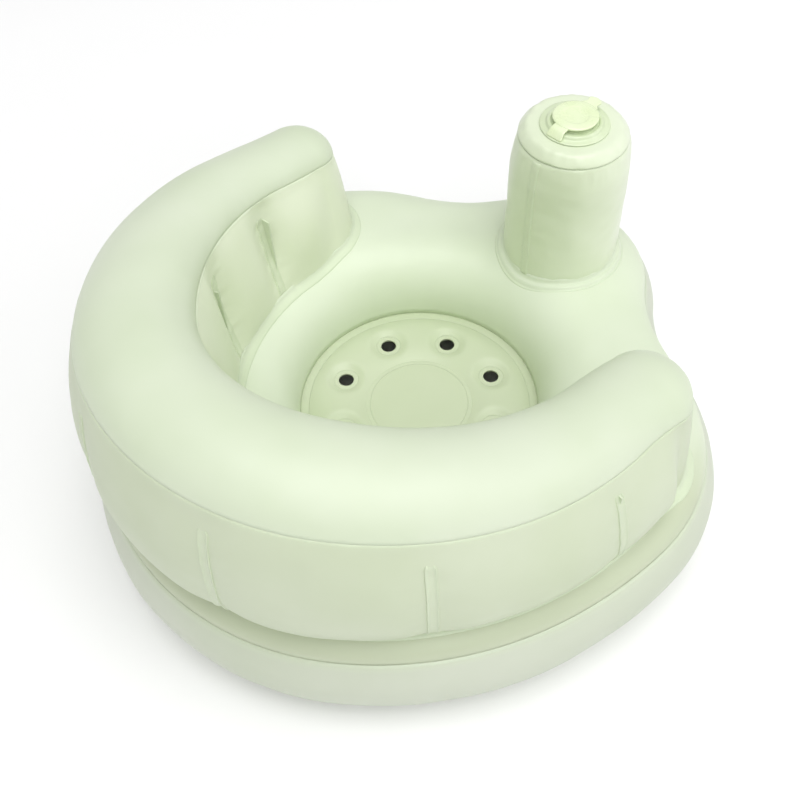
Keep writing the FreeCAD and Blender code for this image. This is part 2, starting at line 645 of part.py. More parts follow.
def main():
    os.makedirs("parts", exist_ok=True)
    top_panel = base_top_panel()
    made = {
        "base_top_panel": top_panel,
        "base_side_band": base_side_band(),
        "base_bottom_panel": base_bottom_panel(),
        "seat_floor_upper_skin": seat_floor_upper_skin(),
        "seat_floor_lower_skin": seat_floor_lower_skin(),
        "backrest_outer_wall": backrest_wall(True, top_panel),
        "backrest_inner_wall": backrest_wall(False, top_panel),
        "backrest_top_panel": backrest_top_panel(),
        "backrest_webs": Part.Compound(webs(0)),
        "arm_end_lap_seams": arm_end_lap_seams(),
        "post_sleeve": post_sleeve(),
        "post_lap_seam": post_lap_seam(),
        "post_top_panel": post_top_panel(),
        "pump_foam": pump_foam(),
        "pump_valve_flange": pump_valve_flange(),
        "pump_valve_cap": pump_valve_cap(),
        "inlet_valve_body": inlet_valve_body(),
        "inlet_valve_flap": inlet_valve_flap(),
        "deflation_valve_body": deflation_valve_body(),
        "deflation_valve_plug": deflation_valve_plug(),
    }
    footprint = Part.Compound(list(made.values())).BoundBox
    middle_y = (footprint.YMin + footprint.YMax) / 2
    for name, shape in made.items():
        shape.translate(Vector(0, -middle_y, 0))
        shape.exportStep("parts/%s.step" % name)
        box = shape.BoundBox
        print(name, len(shape.Solids), "solids, valid", shape.isValid(), "from",
              [round(v, 2) for v in (box.XMin, box.YMin, box.ZMin)], "to",
              [round(v, 2) for v in (box.XMax, box.YMax, box.ZMax)])
    print("seat floor centre", -middle_y, "cap hinge", HINGE_Y - middle_y, HINGE_Z, "plug hinge",
          DEFLATE_CAP_Y - DEFLATE_CAP_THICKNESS / 2 - middle_y, DEFLATE_HINGE_Z)


main()
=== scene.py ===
# %% [markdown]
# # Inflatable baby seat
# The CAD model gives every place and size. This lesson dresses it: each panel of the real seat is a
# thin film of soft PVC, cut flat, welded along its seams and blown tight, so each becomes a thin
# shell here. Sizes are in millimetres and turn into metres where a point is placed. They are drawn
# round the middle of the seat floor, which the CAD frame has 8.5 mm in front of its origin. X runs
# across the seat, -Y is the front with the pump post, and +Y is the backrest.

# %% Load the CAD frame
import bpy
import bmesh
import math
from collections import namedtuple
from functools import cache, partialmethod
from mathutils import Matrix, Vector, noise


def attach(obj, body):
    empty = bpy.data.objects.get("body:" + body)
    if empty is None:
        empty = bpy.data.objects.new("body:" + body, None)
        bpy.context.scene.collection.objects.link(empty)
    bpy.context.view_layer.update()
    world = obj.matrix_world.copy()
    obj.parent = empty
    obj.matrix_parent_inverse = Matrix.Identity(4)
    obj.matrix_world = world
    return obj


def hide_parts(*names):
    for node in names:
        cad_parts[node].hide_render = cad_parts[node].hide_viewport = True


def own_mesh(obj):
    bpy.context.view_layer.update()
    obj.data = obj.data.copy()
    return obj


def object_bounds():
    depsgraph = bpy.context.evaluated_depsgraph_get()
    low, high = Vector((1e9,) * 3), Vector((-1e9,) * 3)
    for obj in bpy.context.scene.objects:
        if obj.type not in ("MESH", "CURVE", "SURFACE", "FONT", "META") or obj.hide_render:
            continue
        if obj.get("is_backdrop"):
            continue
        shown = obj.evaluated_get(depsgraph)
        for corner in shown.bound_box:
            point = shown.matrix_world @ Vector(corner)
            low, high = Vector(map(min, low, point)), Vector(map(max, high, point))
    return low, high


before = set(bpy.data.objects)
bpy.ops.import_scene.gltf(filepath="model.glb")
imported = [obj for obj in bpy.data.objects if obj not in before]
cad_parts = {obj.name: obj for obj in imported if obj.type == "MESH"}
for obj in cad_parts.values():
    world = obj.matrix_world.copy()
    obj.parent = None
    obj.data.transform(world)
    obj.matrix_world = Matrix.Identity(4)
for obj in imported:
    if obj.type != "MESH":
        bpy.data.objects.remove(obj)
cad_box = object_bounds()
MM = 0.001
UP = Vector((0, 0, 1))
BACK = Vector((0, 1, 0))
SEAT_CENTRE = Vector((0, -0.0085, 0))


def run(x, y, z):
    """A length and direction given in millimetres, as Blender's metres."""
    return Vector((x, y, z)) * MM


def at(x, y, z):
    """A place given in millimetres from the centre of the seat floor, as Blender's metres."""
    return SEAT_CENTRE + run(x, y, z)


def shown(name, data):
    """A new object in the scene."""
    made = bpy.data.objects.new(name, data)
    bpy.context.collection.objects.link(made)
    return made


print("nodes", sorted(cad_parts))

# %% [markdown]
# The camera comes first, because every later choice is judged through it. Its place, aim, roll and
# focal length were fitted to the photograph: the round seat floor, the outline of the base and the
# top of the post had to fall on their pixels together.

# %% Camera
CAMERA_PLACE = at(-371.0, 365.8, 758.9)
CAMERA_AIM = at(-15.0, 36.4, 100.0)
CAMERA_ROLL = math.radians(-3.19)
FOCAL_PIXELS = 1002.7
IMAGE_PIXELS = 800
SENSOR_WIDTH = 36.0

look = (CAMERA_AIM - CAMERA_PLACE).normalized()
level = look.cross(UP).normalized()
rise = level.cross(look)
right = level * math.cos(CAMERA_ROLL) + rise * math.sin(CAMERA_ROLL)
above = rise * math.cos(CAMERA_ROLL) - level * math.sin(CAMERA_ROLL)
lens = bpy.data.cameras.new("camera")
lens.sensor_width = SENSOR_WIDTH
lens.lens = FOCAL_PIXELS / IMAGE_PIXELS * SENSOR_WIDTH
camera = shown("camera", lens)
camera.matrix_world = Matrix.Translation(CAMERA_PLACE) @ Matrix((right, above, -look)).transposed().to_4x4()
bpy.context.scene.camera = camera
print("camera lens", round(lens.lens, 2), "mm")

# %% [markdown]
# A product picture of this kind is lit from all round, so the shadows are wide and faint. A white
# world does half of that. One large, distant lamp overhead makes the tops of the tubes the brightest
# part, and two weaker ones on the -X side keep the near side brighter than the far one.

# %% Light
WORLD_STRENGTH = 0.48
SEAT_MIDDLE = at(0, 0, 120)
LAMPS = {
    "overhead_lamp": (at(-1100, 300, 6000), 4.5, 222.0),
    "front_lamp": (at(-3300, 2600, 4700), 4.0, 68.0),
    "side_lamp": (at(-4300, -2600, 3300), 4.0, 50.0),
}

world = bpy.data.worlds.new("studio")
world.use_nodes = True
background = world.node_tree.nodes["Background"].inputs
background["Color"].default_value = (1, 1, 1, 1)
background["Strength"].default_value = WORLD_STRENGTH
bpy.context.scene.world = world
bpy.context.scene.view_settings.view_transform = "Standard"


def soft_lamp(name, place, size, power):
    """A square lamp that faces the seat, with its side in metres and its power in watts."""
    lamp = bpy.data.lights.new(name, "AREA")
    lamp.size = size
    lamp.energy = power
    facing = (place - SEAT_MIDDLE).to_track_quat("Z", "Y").to_matrix().to_4x4()
    shown(name, lamp).matrix_world = Matrix.Translation(place) @ facing


for name, lamp in LAMPS.items():
    soft_lamp(name, *lamp)
print("lamps", sorted(LAMPS))

# %% [markdown]
# Shader maths reads best as plain Python. `Signal` wraps one socket, and each + or * on it adds a
# Math node. `Finish` is a material under construction: `node` makes any other node from its type,
# its settings and what feeds its sockets, and `place` is the place on the seat.

# %% Shader maths
class Signal:
    """A value in a material that can be used in sums."""

    def __init__(self, finish, socket):
        self.finish = finish
        self.socket = socket

    def maths(self, operation, *others):
        values = dict(enumerate([self, *others]))
        return self.finish.node("ShaderNodeMath", values, operation=operation)

    __add__ = __radd__ = partialmethod(maths, "ADD")
    __sub__ = partialmethod(maths, "SUBTRACT")
    __mul__ = partialmethod(maths, "MULTIPLY")
    __truediv__ = partialmethod(maths, "DIVIDE")
    __pow__ = partialmethod(maths, "POWER")

    def __rsub__(self, other):
        return (self * -1.0) + other

    def clamped(self):
        return self.maths("MAXIMUM", 0.0).maths("MINIMUM", 1.0)

    def spread(self):
        """A noise stays near its middle, and this draws it out over 0 to 1."""
        return ((self - 0.35) * 3.0).clamped()


def length(x, y):
    """The length of two signals at a right angle."""
    return (x * x + y * y) ** 0.5


class Finish:
    """A material built from nodes."""

    def __init__(self, name):
        self.material = bpy.data.materials.new(name)
        self.material.use_nodes = True
        self.tree = self.material.node_tree
        self.shader = self.tree.nodes["Principled BSDF"]
        sides = {0: self.node("ShaderNodeTexCoord", out="Object"), 1: SEAT_CENTRE}
        self.place = self.node("ShaderNodeVectorMath", sides, operation="SUBTRACT")

    def put(self, socket, value):
        if isinstance(value, Signal):
            self.tree.links.new(value.socket, socket)
        else:
            socket.default_value = value

    def node(self, kind, sockets=None, out=0, **settings):
        made = self.tree.nodes.new(kind)
        for name, value in settings.items():
            setattr(made, name, value)
        for name, value in (sockets or {}).items():
            self.put(made.inputs[name], value)
        return Signal(self, made.outputs[out])

    def noise(self, scale, detail):
        return self.node("ShaderNodeTexNoise", {"Vector": self.place, "Scale": scale, "Detail": detail})

    def plan(self):
        """X, Y and the distance from the centre of the seat floor, as seen from above."""
        x, y = [self.node("ShaderNodeSeparateXYZ", {"Vector": self.place}, out=axis) for axis in "XY"]
        return x, y, length(x, y)

    def mixed(self, first, second, mask):
        """Two colours, and the second shows where the mask is 1."""
        return self.node("ShaderNodeMix", {0: mask, 6: first, 7: second}, out=2, data_type="RGBA")

    def wear(self, colour, roughness, height=None):
        """Links what varies over the surface: colour, roughness, and height in millimetres."""
        self.put(self.shader.inputs["Base Color"], colour)
        self.put(self.shader.inputs["Roughness"], roughness)
        if height is not None:
            bump = self.node("ShaderNodeBump", {"Height": height, "Distance": MM})
            self.put(self.shader.inputs["Normal"], bump)

    def fixed(self, **values):
        """Sets what is the same all over, on the shader's own sockets."""
        for name, value in values.items():
            self.shader.inputs[name.replace("_", " ")].default_value = value
        return self.material


print("shader helpers ready")

# %% [markdown]
# The seat is one soft PVC film, pale pistachio, matt with a low sheen. Calendering leaves a very fine
# grain, blowing it up leaves it slightly uneven over a hand's width, and a welded strip is pressed
# smoother and a little deeper in colour. A `weld` value stored on the mesh says where the welds are.
# The panels are all one film, but each has its own light and deep colour for how it is lit, which is painted
# light and shade. The inner walls are lightest, with painted light. The side band, the outer walls and the
# seat floor are darker, with painted shade. The ledge behind the backrest is deepest, a painted shadow under
# the backrest's bulge.

# %% Film
# Painted light and shade in the film colours: lighter for the inner wall, and darker for the side band, the
# outer wall and the seat floor.
FILMS = {
    "base_film": ((0.706, 0.772, 0.618, 1), (0.656, 0.732, 0.556, 1)),
    "base_band_film_painted_shade": ((0.592, 0.634, 0.520, 1), (0.552, 0.604, 0.472, 1)),
    "backrest_film": ((0.665, 0.732, 0.570, 1), (0.612, 0.694, 0.505, 1)),
    "outer_wall_film_painted_shade": ((0.605, 0.665, 0.498, 1), (0.560, 0.630, 0.443, 1)),
    "inner_wall_film_painted_light": ((0.785, 0.840, 0.665, 1), (0.735, 0.805, 0.600, 1)),
    "post_film": ((0.760, 0.830, 0.645, 1), (0.700, 0.780, 0.570, 1)),
    "seat_floor_film_painted_shade": ((0.585, 0.645, 0.470, 1), (0.545, 0.615, 0.425, 1)),
}
FILM_WELD = (0.630, 0.715, 0.520, 1)
# Painted shadow: the colour of the base behind the backrest, in the shade of the backrest's bulge, and where
# that shadow starts and fades.
LEDGE_SHADOW_COLOUR = (0.535, 0.590, 0.425, 1)
LEDGE_SHADOW_R, LEDGE_SHADOW_Y, LEDGE_SHADOW_SPANS = 224.0, -110.0, (12.0, 60.0)
FILM_ROUGHNESS, FILM_COAT = 0.42, 0.06
POST_ROUGHNESS, POST_COAT = 0.33, 0.15
CLOUD_SCALE, RIPPLE_SCALE, GRAIN_SCALE = 9.0, 70.0, 1100.0
RIPPLE_DEPTH, GRAIN_DEPTH, WELD_DEPTH = 0.10, 0.012, 0.10
CLOUD_ROUGH, GRAIN_ROUGH, WELD_SMOOTH, WELD_TINT = 0.08, 0.06, 0.07, 0.55


def film(name, roughness=FILM_ROUGHNESS, coat=FILM_COAT, dress=None):
    """One film. Its noises stay near a half, so half their share is taken off the roughness again."""
    finish = Finish(name)
    weld = finish.node("ShaderNodeAttribute", out="Fac", attribute_name="weld")
    cloud = finish.noise(CLOUD_SCALE, 3.0)
    ripple = finish.noise(RIPPLE_SCALE, 3.0)
    grain = finish.noise(GRAIN_SCALE, 2.0)
    colour = finish.mixed(finish.mixed(*FILMS[name], cloud.spread()), FILM_WELD, weld * WELD_TINT)
    rough = cloud * CLOUD_ROUGH + grain * GRAIN_ROUGH - weld * WELD_SMOOTH
    rough += roughness - (CLOUD_ROUGH + GRAIN_ROUGH) / 2
    height = ripple * RIPPLE_DEPTH + grain * GRAIN_DEPTH + grain * weld * WELD_DEPTH
    if dress is not None:
        colour, height = dress(finish, colour, height)
    finish.wear(colour, rough, height)
    return finish.fixed(Coat_Weight=coat, Coat_Roughness=0.35, Specular_IOR_Level=0.45)


def ledge(finish, colour, height):
    """Paints the shadow that the backrest's bulge casts on the part of the base behind the backrest, as a
    deeper colour.
    """
    _, y, radius = finish.plan()
    outside = ((radius - LEDGE_SHADOW_R * MM) / (LEDGE_SHADOW_SPANS[0] * MM)).clamped()
    behind = ((y - LEDGE_SHADOW_Y * MM) / (LEDGE_SHADOW_SPANS[1] * MM)).clamped()
    return finish.mixed(colour, LEDGE_SHADOW_COLOUR, outside * behind), height


BASE_FILM = film("base_film", dress=ledge)
BAND_FILM_PAINTED_SHADE = film("base_band_film_painted_shade")
BACK_FILM = film("backrest_film")
WALL_FILM_PAINTED_SHADE = film("outer_wall_film_painted_shade")
INNER_FILM_PAINTED_LIGHT = film("inner_wall_film_painted_light")
POST_FILM = film("post_film", POST_ROUGHNESS, POST_COAT)
print("films", sorted(FILMS))

# %% [markdown]
# The seat floor carries its welds as thin pressed lines: one inside its rim, two round its middle and
# one round each drain hole. They are too fine for the mesh, so the material works them out from
# plain distance. Folding the angle into one eighth of a turn draws all eight hole lines at once.

# %% Seat floor film
FLOOR_RIM_R, RIM_WELD_R, CENTRE_WELD_R, CENTRE_LINE_R = 104.0, 97.0, 43.0, 46.5
DRAIN_COUNT, DRAIN_CIRCLE_R, DRAIN_R, DRAIN_WELD_R = 8, 70.0, 6.8, 10.8
DRAIN_TURN = 2 * math.pi / DRAIN_COUNT
LINE_HALF_WIDTH, LINE_DEPTH = 0.55, 0.35


def pressed_line(distance, radius):
    """1 on a round line of the given radius, falling to 0 beside it."""
    gap = (distance - radius * MM).maths("ABSOLUTE")
    return (1.0 - gap / (LINE_HALF_WIDTH * MM)).clamped()


def pressed_lines(finish, colour, height):
    """Presses the weld lines into the seat floor's film."""
    x, y, radius = finish.plan()
    folded = ((y.maths("ARCTAN2", x) / DRAIN_TURN + DRAIN_COUNT).maths("FRACT") - 0.5) * DRAIN_TURN
    from_hole = length(radius * folded.maths("COSINE") - DRAIN_CIRCLE_R * MM, radius * folded.maths("SINE"))
    lines = (pressed_line(radius, RIM_WELD_R) + pressed_line(radius, CENTRE_WELD_R)
             + pressed_line(radius, CENTRE_LINE_R) * 0.45 + pressed_line(from_hole, DRAIN_WELD_R)).clamped()
    return finish.mixed(colour, FILM_WELD, lines * 0.5), height - lines * LINE_DEPTH


FLOOR_FILM_PAINTED_SHADE = film("seat_floor_film_painted_shade", dress=pressed_lines)
print("floor film", len(FLOOR_FILM_PAINTED_SHADE.node_tree.nodes), "nodes")

# %% [markdown]
# The valve is a stiffer, glossier moulding. Its cap is a brighter yellow green, with the faint orange peel
# and slightly cloudy colour of a small injection moulding. The foam inside the post is open celled, which
# two sizes of cell pattern give, and its cell pits are darker with painted shade.

# %% Plastics and foam
VALVE_COLOURS = ((0.700, 0.790, 0.560, 1), (0.640, 0.740, 0.490, 1))
CAP_COLOURS = ((0.800, 0.890, 0.610, 1), (0.745, 0.850, 0.540, 1))
# The foam's deep colour is painted shade in its cell pits.
FOAM_LIGHT, FOAM_PIT_SHADE = (0.780, 0.765, 0.700, 1), (0.560, 0.545, 0.480, 1)
BLUSH_SCALE, PEEL_SCALE, CELL_SCALES = 60.0, 420.0, (900.0, 380.0)
BLUSH_ROUGH, PEEL_ROUGH, NOISE_ROUGH, PEEL_DEPTH = 0.08, 0.05, 0.06, 0.03
FINE_CELLS, WIDE_CELLS, CELL_SHINE, CELL_DEPTH = 0.6, 0.4, 0.08, 0.6


def moulded(name, colours, roughness):
    """A moulding. What its two noises add to the roughness on average is taken off again."""
    finish = Finish(name)
    cloud = finish.noise(BLUSH_SCALE, 2.0)
    peel = finish.noise(PEEL_SCALE, 1.0)
    rough = cloud * BLUSH_ROUGH + peel * PEEL_ROUGH + (roughness - NOISE_ROUGH)
    finish.wear(finish.mixed(*colours, cloud.spread()), rough, peel * PEEL_DEPTH)
    return finish.fixed(Coat_Weight=0.2, Coat_Roughness=0.2, Specular_IOR_Level=0.5)


def open_foam(name):
    finish = Finish(name)
    cells = [finish.node("ShaderNodeTexVoronoi", {"Vector": finish.place, "Scale": scale}) * scale * MM
             for scale in CELL_SCALES]
    depth = (cells[0] * FINE_CELLS + cells[1] * WIDE_CELLS).clamped()
    # Darker in the cell pits, with painted shade, and lighter on the cell walls, which stand higher.
    finish.wear(finish.mixed(FOAM_PIT_SHADE, FOAM_LIGHT, depth), 0.9 - depth * CELL_SHINE, depth * CELL_DEPTH)
    return finish.fixed(Specular_IOR_Level=0.2)


VALVE_PLASTIC = moulded("valve_plastic", VALVE_COLOURS, 0.32)
CAP_PLASTIC = moulded("cap_plastic", CAP_COLOURS, 0.26)
FOAM = open_foam("open_foam")
print("mouldings", VALVE_PLASTIC.name, CAP_PLASTIC.name, FOAM.name)

# %% [markdown]
# Every panel is made one of two ways. A panel that closes on itself is a stack: a circle of corners,
# extruded ring by ring, and each new ring is moved to its place. A panel with two ends is a laid
# sheet: a grid whose corners are moved by column and row. Blender's Solidify then gives the film
# its thickness, inwards, so the outside stays where the CAD puts it.

# %% Stacks and sheets
FILM_THICKNESS = 0.8
TURN_STEPS = 64


def stacked(count, rings, place):
    """Rings of count corners. place(corner, ring) gives a point and its weld value."""
    bm = bmesh.new()
    corner = bm.verts.layers.int.new("corner")
    weld = bm.verts.layers.float.new("weld")
    bmesh.ops.create_circle(bm, segments=count, radius=1.0)
    for number, vert in enumerate(bm.verts):
        vert[corner] = number
    edges, verts = list(bm.edges), list(bm.verts)
    for ring in range(rings):
        if ring:
            grown = bmesh.ops.extrude_edge_only(bm, edges=edges)["geom"]
            verts = [part for part in grown if isinstance(part, bmesh.types.BMVert)]
            new = set(verts)
            edges = [part for part in grown
                     if isinstance(part, bmesh.types.BMEdge) and set(part.verts) <= new]
        for vert in verts:
            vert.co, vert[weld] = place(vert[corner], ring)
    return bm


def laid(columns, rows, place):
    """A sheet of columns by rows corners. place(column, row) gives a point and its weld value."""
    bm = bmesh.new()
    weld = bm.verts.layers.float.new("weld")
    bmesh.ops.create_grid(bm, x_segments=columns - 1, y_segments=rows - 1, size=1.0)
    for vert in bm.verts:
        column = round((vert.co.x + 1) / 2 * (columns - 1))
        row = round((vert.co.y + 1) / 2 * (rows - 1))
        vert.co, vert[weld] = place(column, row)
    return bm


def faced(bm, way):
    """Turns all faces over if, together, they point against a direction, or one that a function gives."""
    bm.normal_update()
    ways = way if callable(way) else lambda place: way
    total = sum(face.normal.dot(ways(face.calc_center_median())) * face.calc_area() for face in bm.faces)
    if total < 0:
        bmesh.ops.reverse_faces(bm, faces=bm.faces)
    return bm


def merged(bm, reach=0.05):
    """Corners that fell on the same spot become one."""
    bmesh.ops.remove_doubles(bm, verts=bm.verts, dist=reach * MM)
    return bm


print("mesh helpers ready")

# %% Finishing a piece
def linked(name, bm):
    """A mesh object in the scene."""
    mesh = bpy.data.meshes.new(name)
    bm.to_mesh(mesh)
    bm.free()
    return shown(name, mesh)


def piece(name, bm, body, material, replaces=(), thickness=FILM_THICKNESS, sharp=None):
    """Makes the object: smooth, given its wall, finish, body and the CAD nodes it stands for."""
    made = linked(name, bm)
    mesh = made.data
    mesh.shade_smooth()
    if sharp:
        mesh.set_sharp_from_angle(angle=math.radians(sharp))
    mesh.materials.append(material)
    if thickness:
        wall = made.modifiers.new("film", "SOLIDIFY")
        wall.thickness = thickness * MM
        wall.offset = -1.0
    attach(made, body)
    if replaces:
        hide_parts(*replaces)
    print(name, len(mesh.polygons), "faces")
    return made


# %% [markdown]
# A few small sums come up in every panel: soft steps and bells that say where a thing starts and
# fades, and the unevenness, puckers and dents that a blown film has.

# %% Small sums
def limited(share):
    return min(1.0, max(0.0, share))


def smooth_step(value, low, high):
    """0 below low, 1 above high, and a soft S between."""
    share = limited((value - low) / (high - low))
    return share * share * (3 - 2 * share)


def bell(distance, reach):
    """1 at no distance, and next to nothing past twice the reach."""
    return math.exp(-(distance / reach) ** 2)


def mix(first, second, share):
    return first + (second - first) * share


def polar(radius, angle):
    return radius * math.cos(angle), radius * math.sin(angle)


def weld_near(edge, beside):
    """Weld value by rows from an edge: full on it, some beside it and none further in."""
    return (1.0, beside, 0.0)[min(edge, 2)]


def uneven(x, y, z, reach, height):
    """A gentle rise or fall, in millimetres, that repeats at no visible step."""
    return height * noise.noise(Vector((x, y, z)) / reach)


def rumpled(x, y, z, waves):
    """Several kinds of unevenness together, each with its own layer of noise, reach and height."""
    return sum(uneven(x, y, z + layer, reach, height) for layer, reach, height in waves)


def puckered(x, y, row, reach, height, middle, fade):
    """The small puckers beside a seam, strongest at a middle row and fading over some rows."""
    return uneven(x, y, 0, reach, height) * bell(row - middle, fade)


def dented(x, y, dents):
    """What round dents, each with a place, a reach and a depth, add at a place."""
    return sum(depth * bell(math.hypot(x - dx, y - dy), reach) for dx, dy, reach, depth in dents)


print("half way up a soft step", smooth_step(0.5, 0, 1))

# %% [markdown]
# Seen from above, the base is a round tub with a waist and a nose for the post. Eight arcs that run
# into each other without a kink draw it. Stations a few millimetres apart along them, each with the
# direction that points out, are all that the base panels need: a ring of a panel is the outline
# drawn in by some inset, at some height.

# %% Outline of the base
BASE_HALF_WIDTH, BASE_REAR_REACH, BASE_FRONT_REACH = 258.0, 284.0, 265.0
SIDE_CENTRE_SHARE = 1.5
FLANK_R, WAIST_R, NOSE_R = 178.0, 138.0, 108.0
POST_FRONT_INSET = 81.0
STATION_STEP = 4.4
SWAY, SWAY_START, SWAY_Y, SWAY_REACH = 7.5, (90.0, 150.0), -90.0, 100.0

longer = BASE_REAR_REACH - BASE_HALF_WIDTH
rear_share = (2 * SIDE_CENTRE_SHARE - 1) / (2 * SIDE_CENTRE_SHARE - 2)
REAR_JOIN = math.degrees(math.atan(rear_share / SIDE_CENTRE_SHARE))
SIDE_X, REAR_Y = longer * SIDE_CENTRE_SHARE, longer * rear_share
POST_Y = POST_FRONT_INSET - BASE_FRONT_REACH
nose_y = NOSE_R - BASE_FRONT_REACH
flank_x = BASE_HALF_WIDTH - FLANK_R
apart = math.hypot(flank_x, nose_y)
along = ((FLANK_R + WAIST_R) ** 2 - (NOSE_R + WAIST_R) ** 2 + apart ** 2) / (2 * apart)
off = math.sqrt((FLANK_R + WAIST_R) ** 2 - along ** 2)
waist_x = flank_x - along * flank_x / apart - off * nose_y / apart
waist_y = along * nose_y / apart - off * flank_x / apart
FLANK_JOIN = math.degrees(math.atan2(waist_y, waist_x - flank_x))
NOSE_JOIN = math.degrees(math.atan2(waist_y - nose_y, waist_x))


def arc_stations(centre, radius, first, last, step, side=1):
    """(x, y, out x, out y) along an arc from one angle to another, its last end left out."""
    count = max(2, round(abs(math.radians(last - first)) * radius / step))
    found = []
    for number in range(count):
        x, y = polar(1.0, math.radians(first + (last - first) * number / count))
        found.append((centre[0] + radius * x, centre[1] + radius * y, side * x, side * y))
    return found


def rear_arcs(inset, step):
    """Stations round the sides and the rear at some inset, from the +X side to the -X side."""
    side_r = BASE_HALF_WIDTH - inset + SIDE_X
    return (arc_stations((-SIDE_X, 0), side_r, 0, REAR_JOIN, step)
            + arc_stations((0, REAR_Y), BASE_REAR_REACH - inset - REAR_Y, REAR_JOIN, 180 - REAR_JOIN, step)
            + arc_stations((SIDE_X, 0), side_r, 180 - REAR_JOIN, 180, step))


def base_stations(step):
    """Stations round the whole base, anticlockwise from the middle of the +X side."""
    return (rear_arcs(0, step)
            + arc_stations((-flank_x, 0), FLANK_R, 180, 180 - FLANK_JOIN, step)
            + arc_stations((-waist_x, waist_y), WAIST_R, -FLANK_JOIN, -NOSE_JOIN, step, -1)
            + arc_stations((0, nose_y), NOSE_R, -180 - NOSE_JOIN, NOSE_JOIN, step)
            + arc_stations((waist_x, waist_y), WAIST_R, 180 + NOSE_JOIN, 180 + FLANK_JOIN, step, -1)
            + arc_stations((flank_x, 0), FLANK_R, FLANK_JOIN, 0, step))


def swayed(stations):
    """The blown base is a little fuller on its -X side, from the waist to the arm."""
    found = []
    for x, y, out_x, out_y in stations:
        full = SWAY * smooth_step(-x, *SWAY_START) * bell(y - SWAY_Y, SWAY_REACH)
        found.append((x - full, y, out_x, out_y))
    return found


OUTLINE = swayed(base_stations(STATION_STEP))
print("outline", len(OUTLINE), "stations")

# %% [markdown]
# Later pieces stand on the base, so its top is also a function of place: flat along the crest, rolling
# off to the seam outside and down into the seat well inside. The roll into the well is a soft
# superellipse, because an inflated ring never has a corner there.

# %% Height of the base top
BASE_TOP_Z, TOP_SEAM_Z, TOP_SEAM_INSET, CREST_INSET = 105.0, 89.0, 12.5, 44.0
SHOULDER_POWER = 2.3
LIP_R, FLOOR_Z, LIP_POWER = 158.0, 46.0, 2.35
LIP_RUN, LIP_FALL = LIP_R - FLOOR_RIM_R, BASE_TOP_Z - FLOOR_Z
SHOULDER_RUN, SHOULDER_FALL = CREST_INSET - TOP_SEAM_INSET, BASE_TOP_Z - TOP_SEAM_Z


def inset_at(x, y):
    """How far inside the outline a place is."""
    return min(math.hypot(x - px, y - py) for px, py, _, _ in OUTLINE)


def rolled_off(share, power):
    """How much of its fall a superellipse has made at a share of its run."""
    share = limited(share)
    return 1 - (1 - share ** power) ** (1 / power)


def base_height(x, y):
    """Height of the base's top film at a place."""
    shoulder = SHOULDER_FALL * rolled_off((CREST_INSET - inset_at(x, y)) / SHOULDER_RUN, SHOULDER_POWER)
    return BASE_TOP_Z - shoulder - LIP_FALL * rolled_off((LIP_R - math.hypot(x, y)) / LIP_RUN, LIP_POWER)


print("crest", base_height(0, 200), "foot of the well", round(base_height(FLOOR_RIM_R, 0), 1))

# %% [markdown]
# The top film runs from the top seam over the crest and down to the seat floor. It is a stack of
# three kinds of rings: insets of the outline over the shoulder, rings that fade from the outline
# to a circle across the flat, and circles down the well. At each seam the film is tucked in by a
# hair, which draws the thin line that a weld leaves.

# %% Rings of the base top
SEAM_TUCK = 0.12
SHOULDER_RINGS, FLAT_RINGS, LIP_RINGS = 12, 9, 18
DENTS = (
    (84.0, -158.0, 20.0, -2.2),
    (-150.0, -120.0, 14.0, -1.2),
)
TOP_WAVES, TOP_PUCKER = ((0, 62.0, 1.0), (40, 21.0, 0.25)), (6.0, 0.5, 3.5, 2.0)
FOLD_ENDS = ((-172.0, -106.0), (-152.0, -126.0))
FOLD_REACH, FOLD_DEPTH, FOLD_WAVES = 5.0, 0.9, 0.9


def fold_at(x, y):
    """A short crease in the film between two places."""
    (ax, ay), (bx, by) = FOLD_ENDS
    span = math.hypot(bx - ax, by - ay)
    share = ((x - ax) * (bx - ax) + (y - ay) * (by - ay)) / span ** 2
    away = ((x - ax) * (by - ay) - (y - ay) * (bx - ax)) / span
    ends = smooth_step(share, -0.1, 0.2) * (1 - smooth_step(share, 0.8, 1.1))
    return -FOLD_DEPTH * ends * bell(away, FOLD_REACH) * math.cos(away * FOLD_WAVES)


def film_level(x, y):
    """Small rises, dents and folds of the base's top film."""
    return rumpled(x, y, 0, TOP_WAVES) + dented(x, y, DENTS) + fold_at(x, y)


def quarter(share, power):
    """Across and up on a quarter of a superellipse, from its top at 0 to its side at 1."""
    turn = math.pi / 2 * (1 - share)
    return math.cos(turn) ** (2 / power), math.sin(turn) ** (2 / power)


def top_ring(ring):
    """Share towards the well's circle, inset, circle radius, height and weld value of a ring."""
    if ring == 0:
        return 0.0, TOP_SEAM_INSET + SEAM_TUCK, LIP_R, TOP_SEAM_Z, 1.0
    if ring <= SHOULDER_RINGS:
        across, up = quarter((ring - 1) / SHOULDER_RINGS, SHOULDER_POWER)
        z = BASE_TOP_Z - SHOULDER_FALL * (1 - across)
        return 0.0, CREST_INSET - SHOULDER_RUN * up, LIP_R, z, 0.6 if ring == 1 else 0.0
    if ring <= SHOULDER_RINGS + FLAT_RINGS:
        return (ring - SHOULDER_RINGS - 1) / FLAT_RINGS, CREST_INSET, LIP_R, BASE_TOP_Z, 0.0
    across, up = quarter((ring - SHOULDER_RINGS - FLAT_RINGS - 1) / LIP_RINGS, LIP_POWER)
    return 1.0, CREST_INSET, LIP_R - LIP_RUN * across, FLOOR_Z + LIP_FALL * up, 0.0


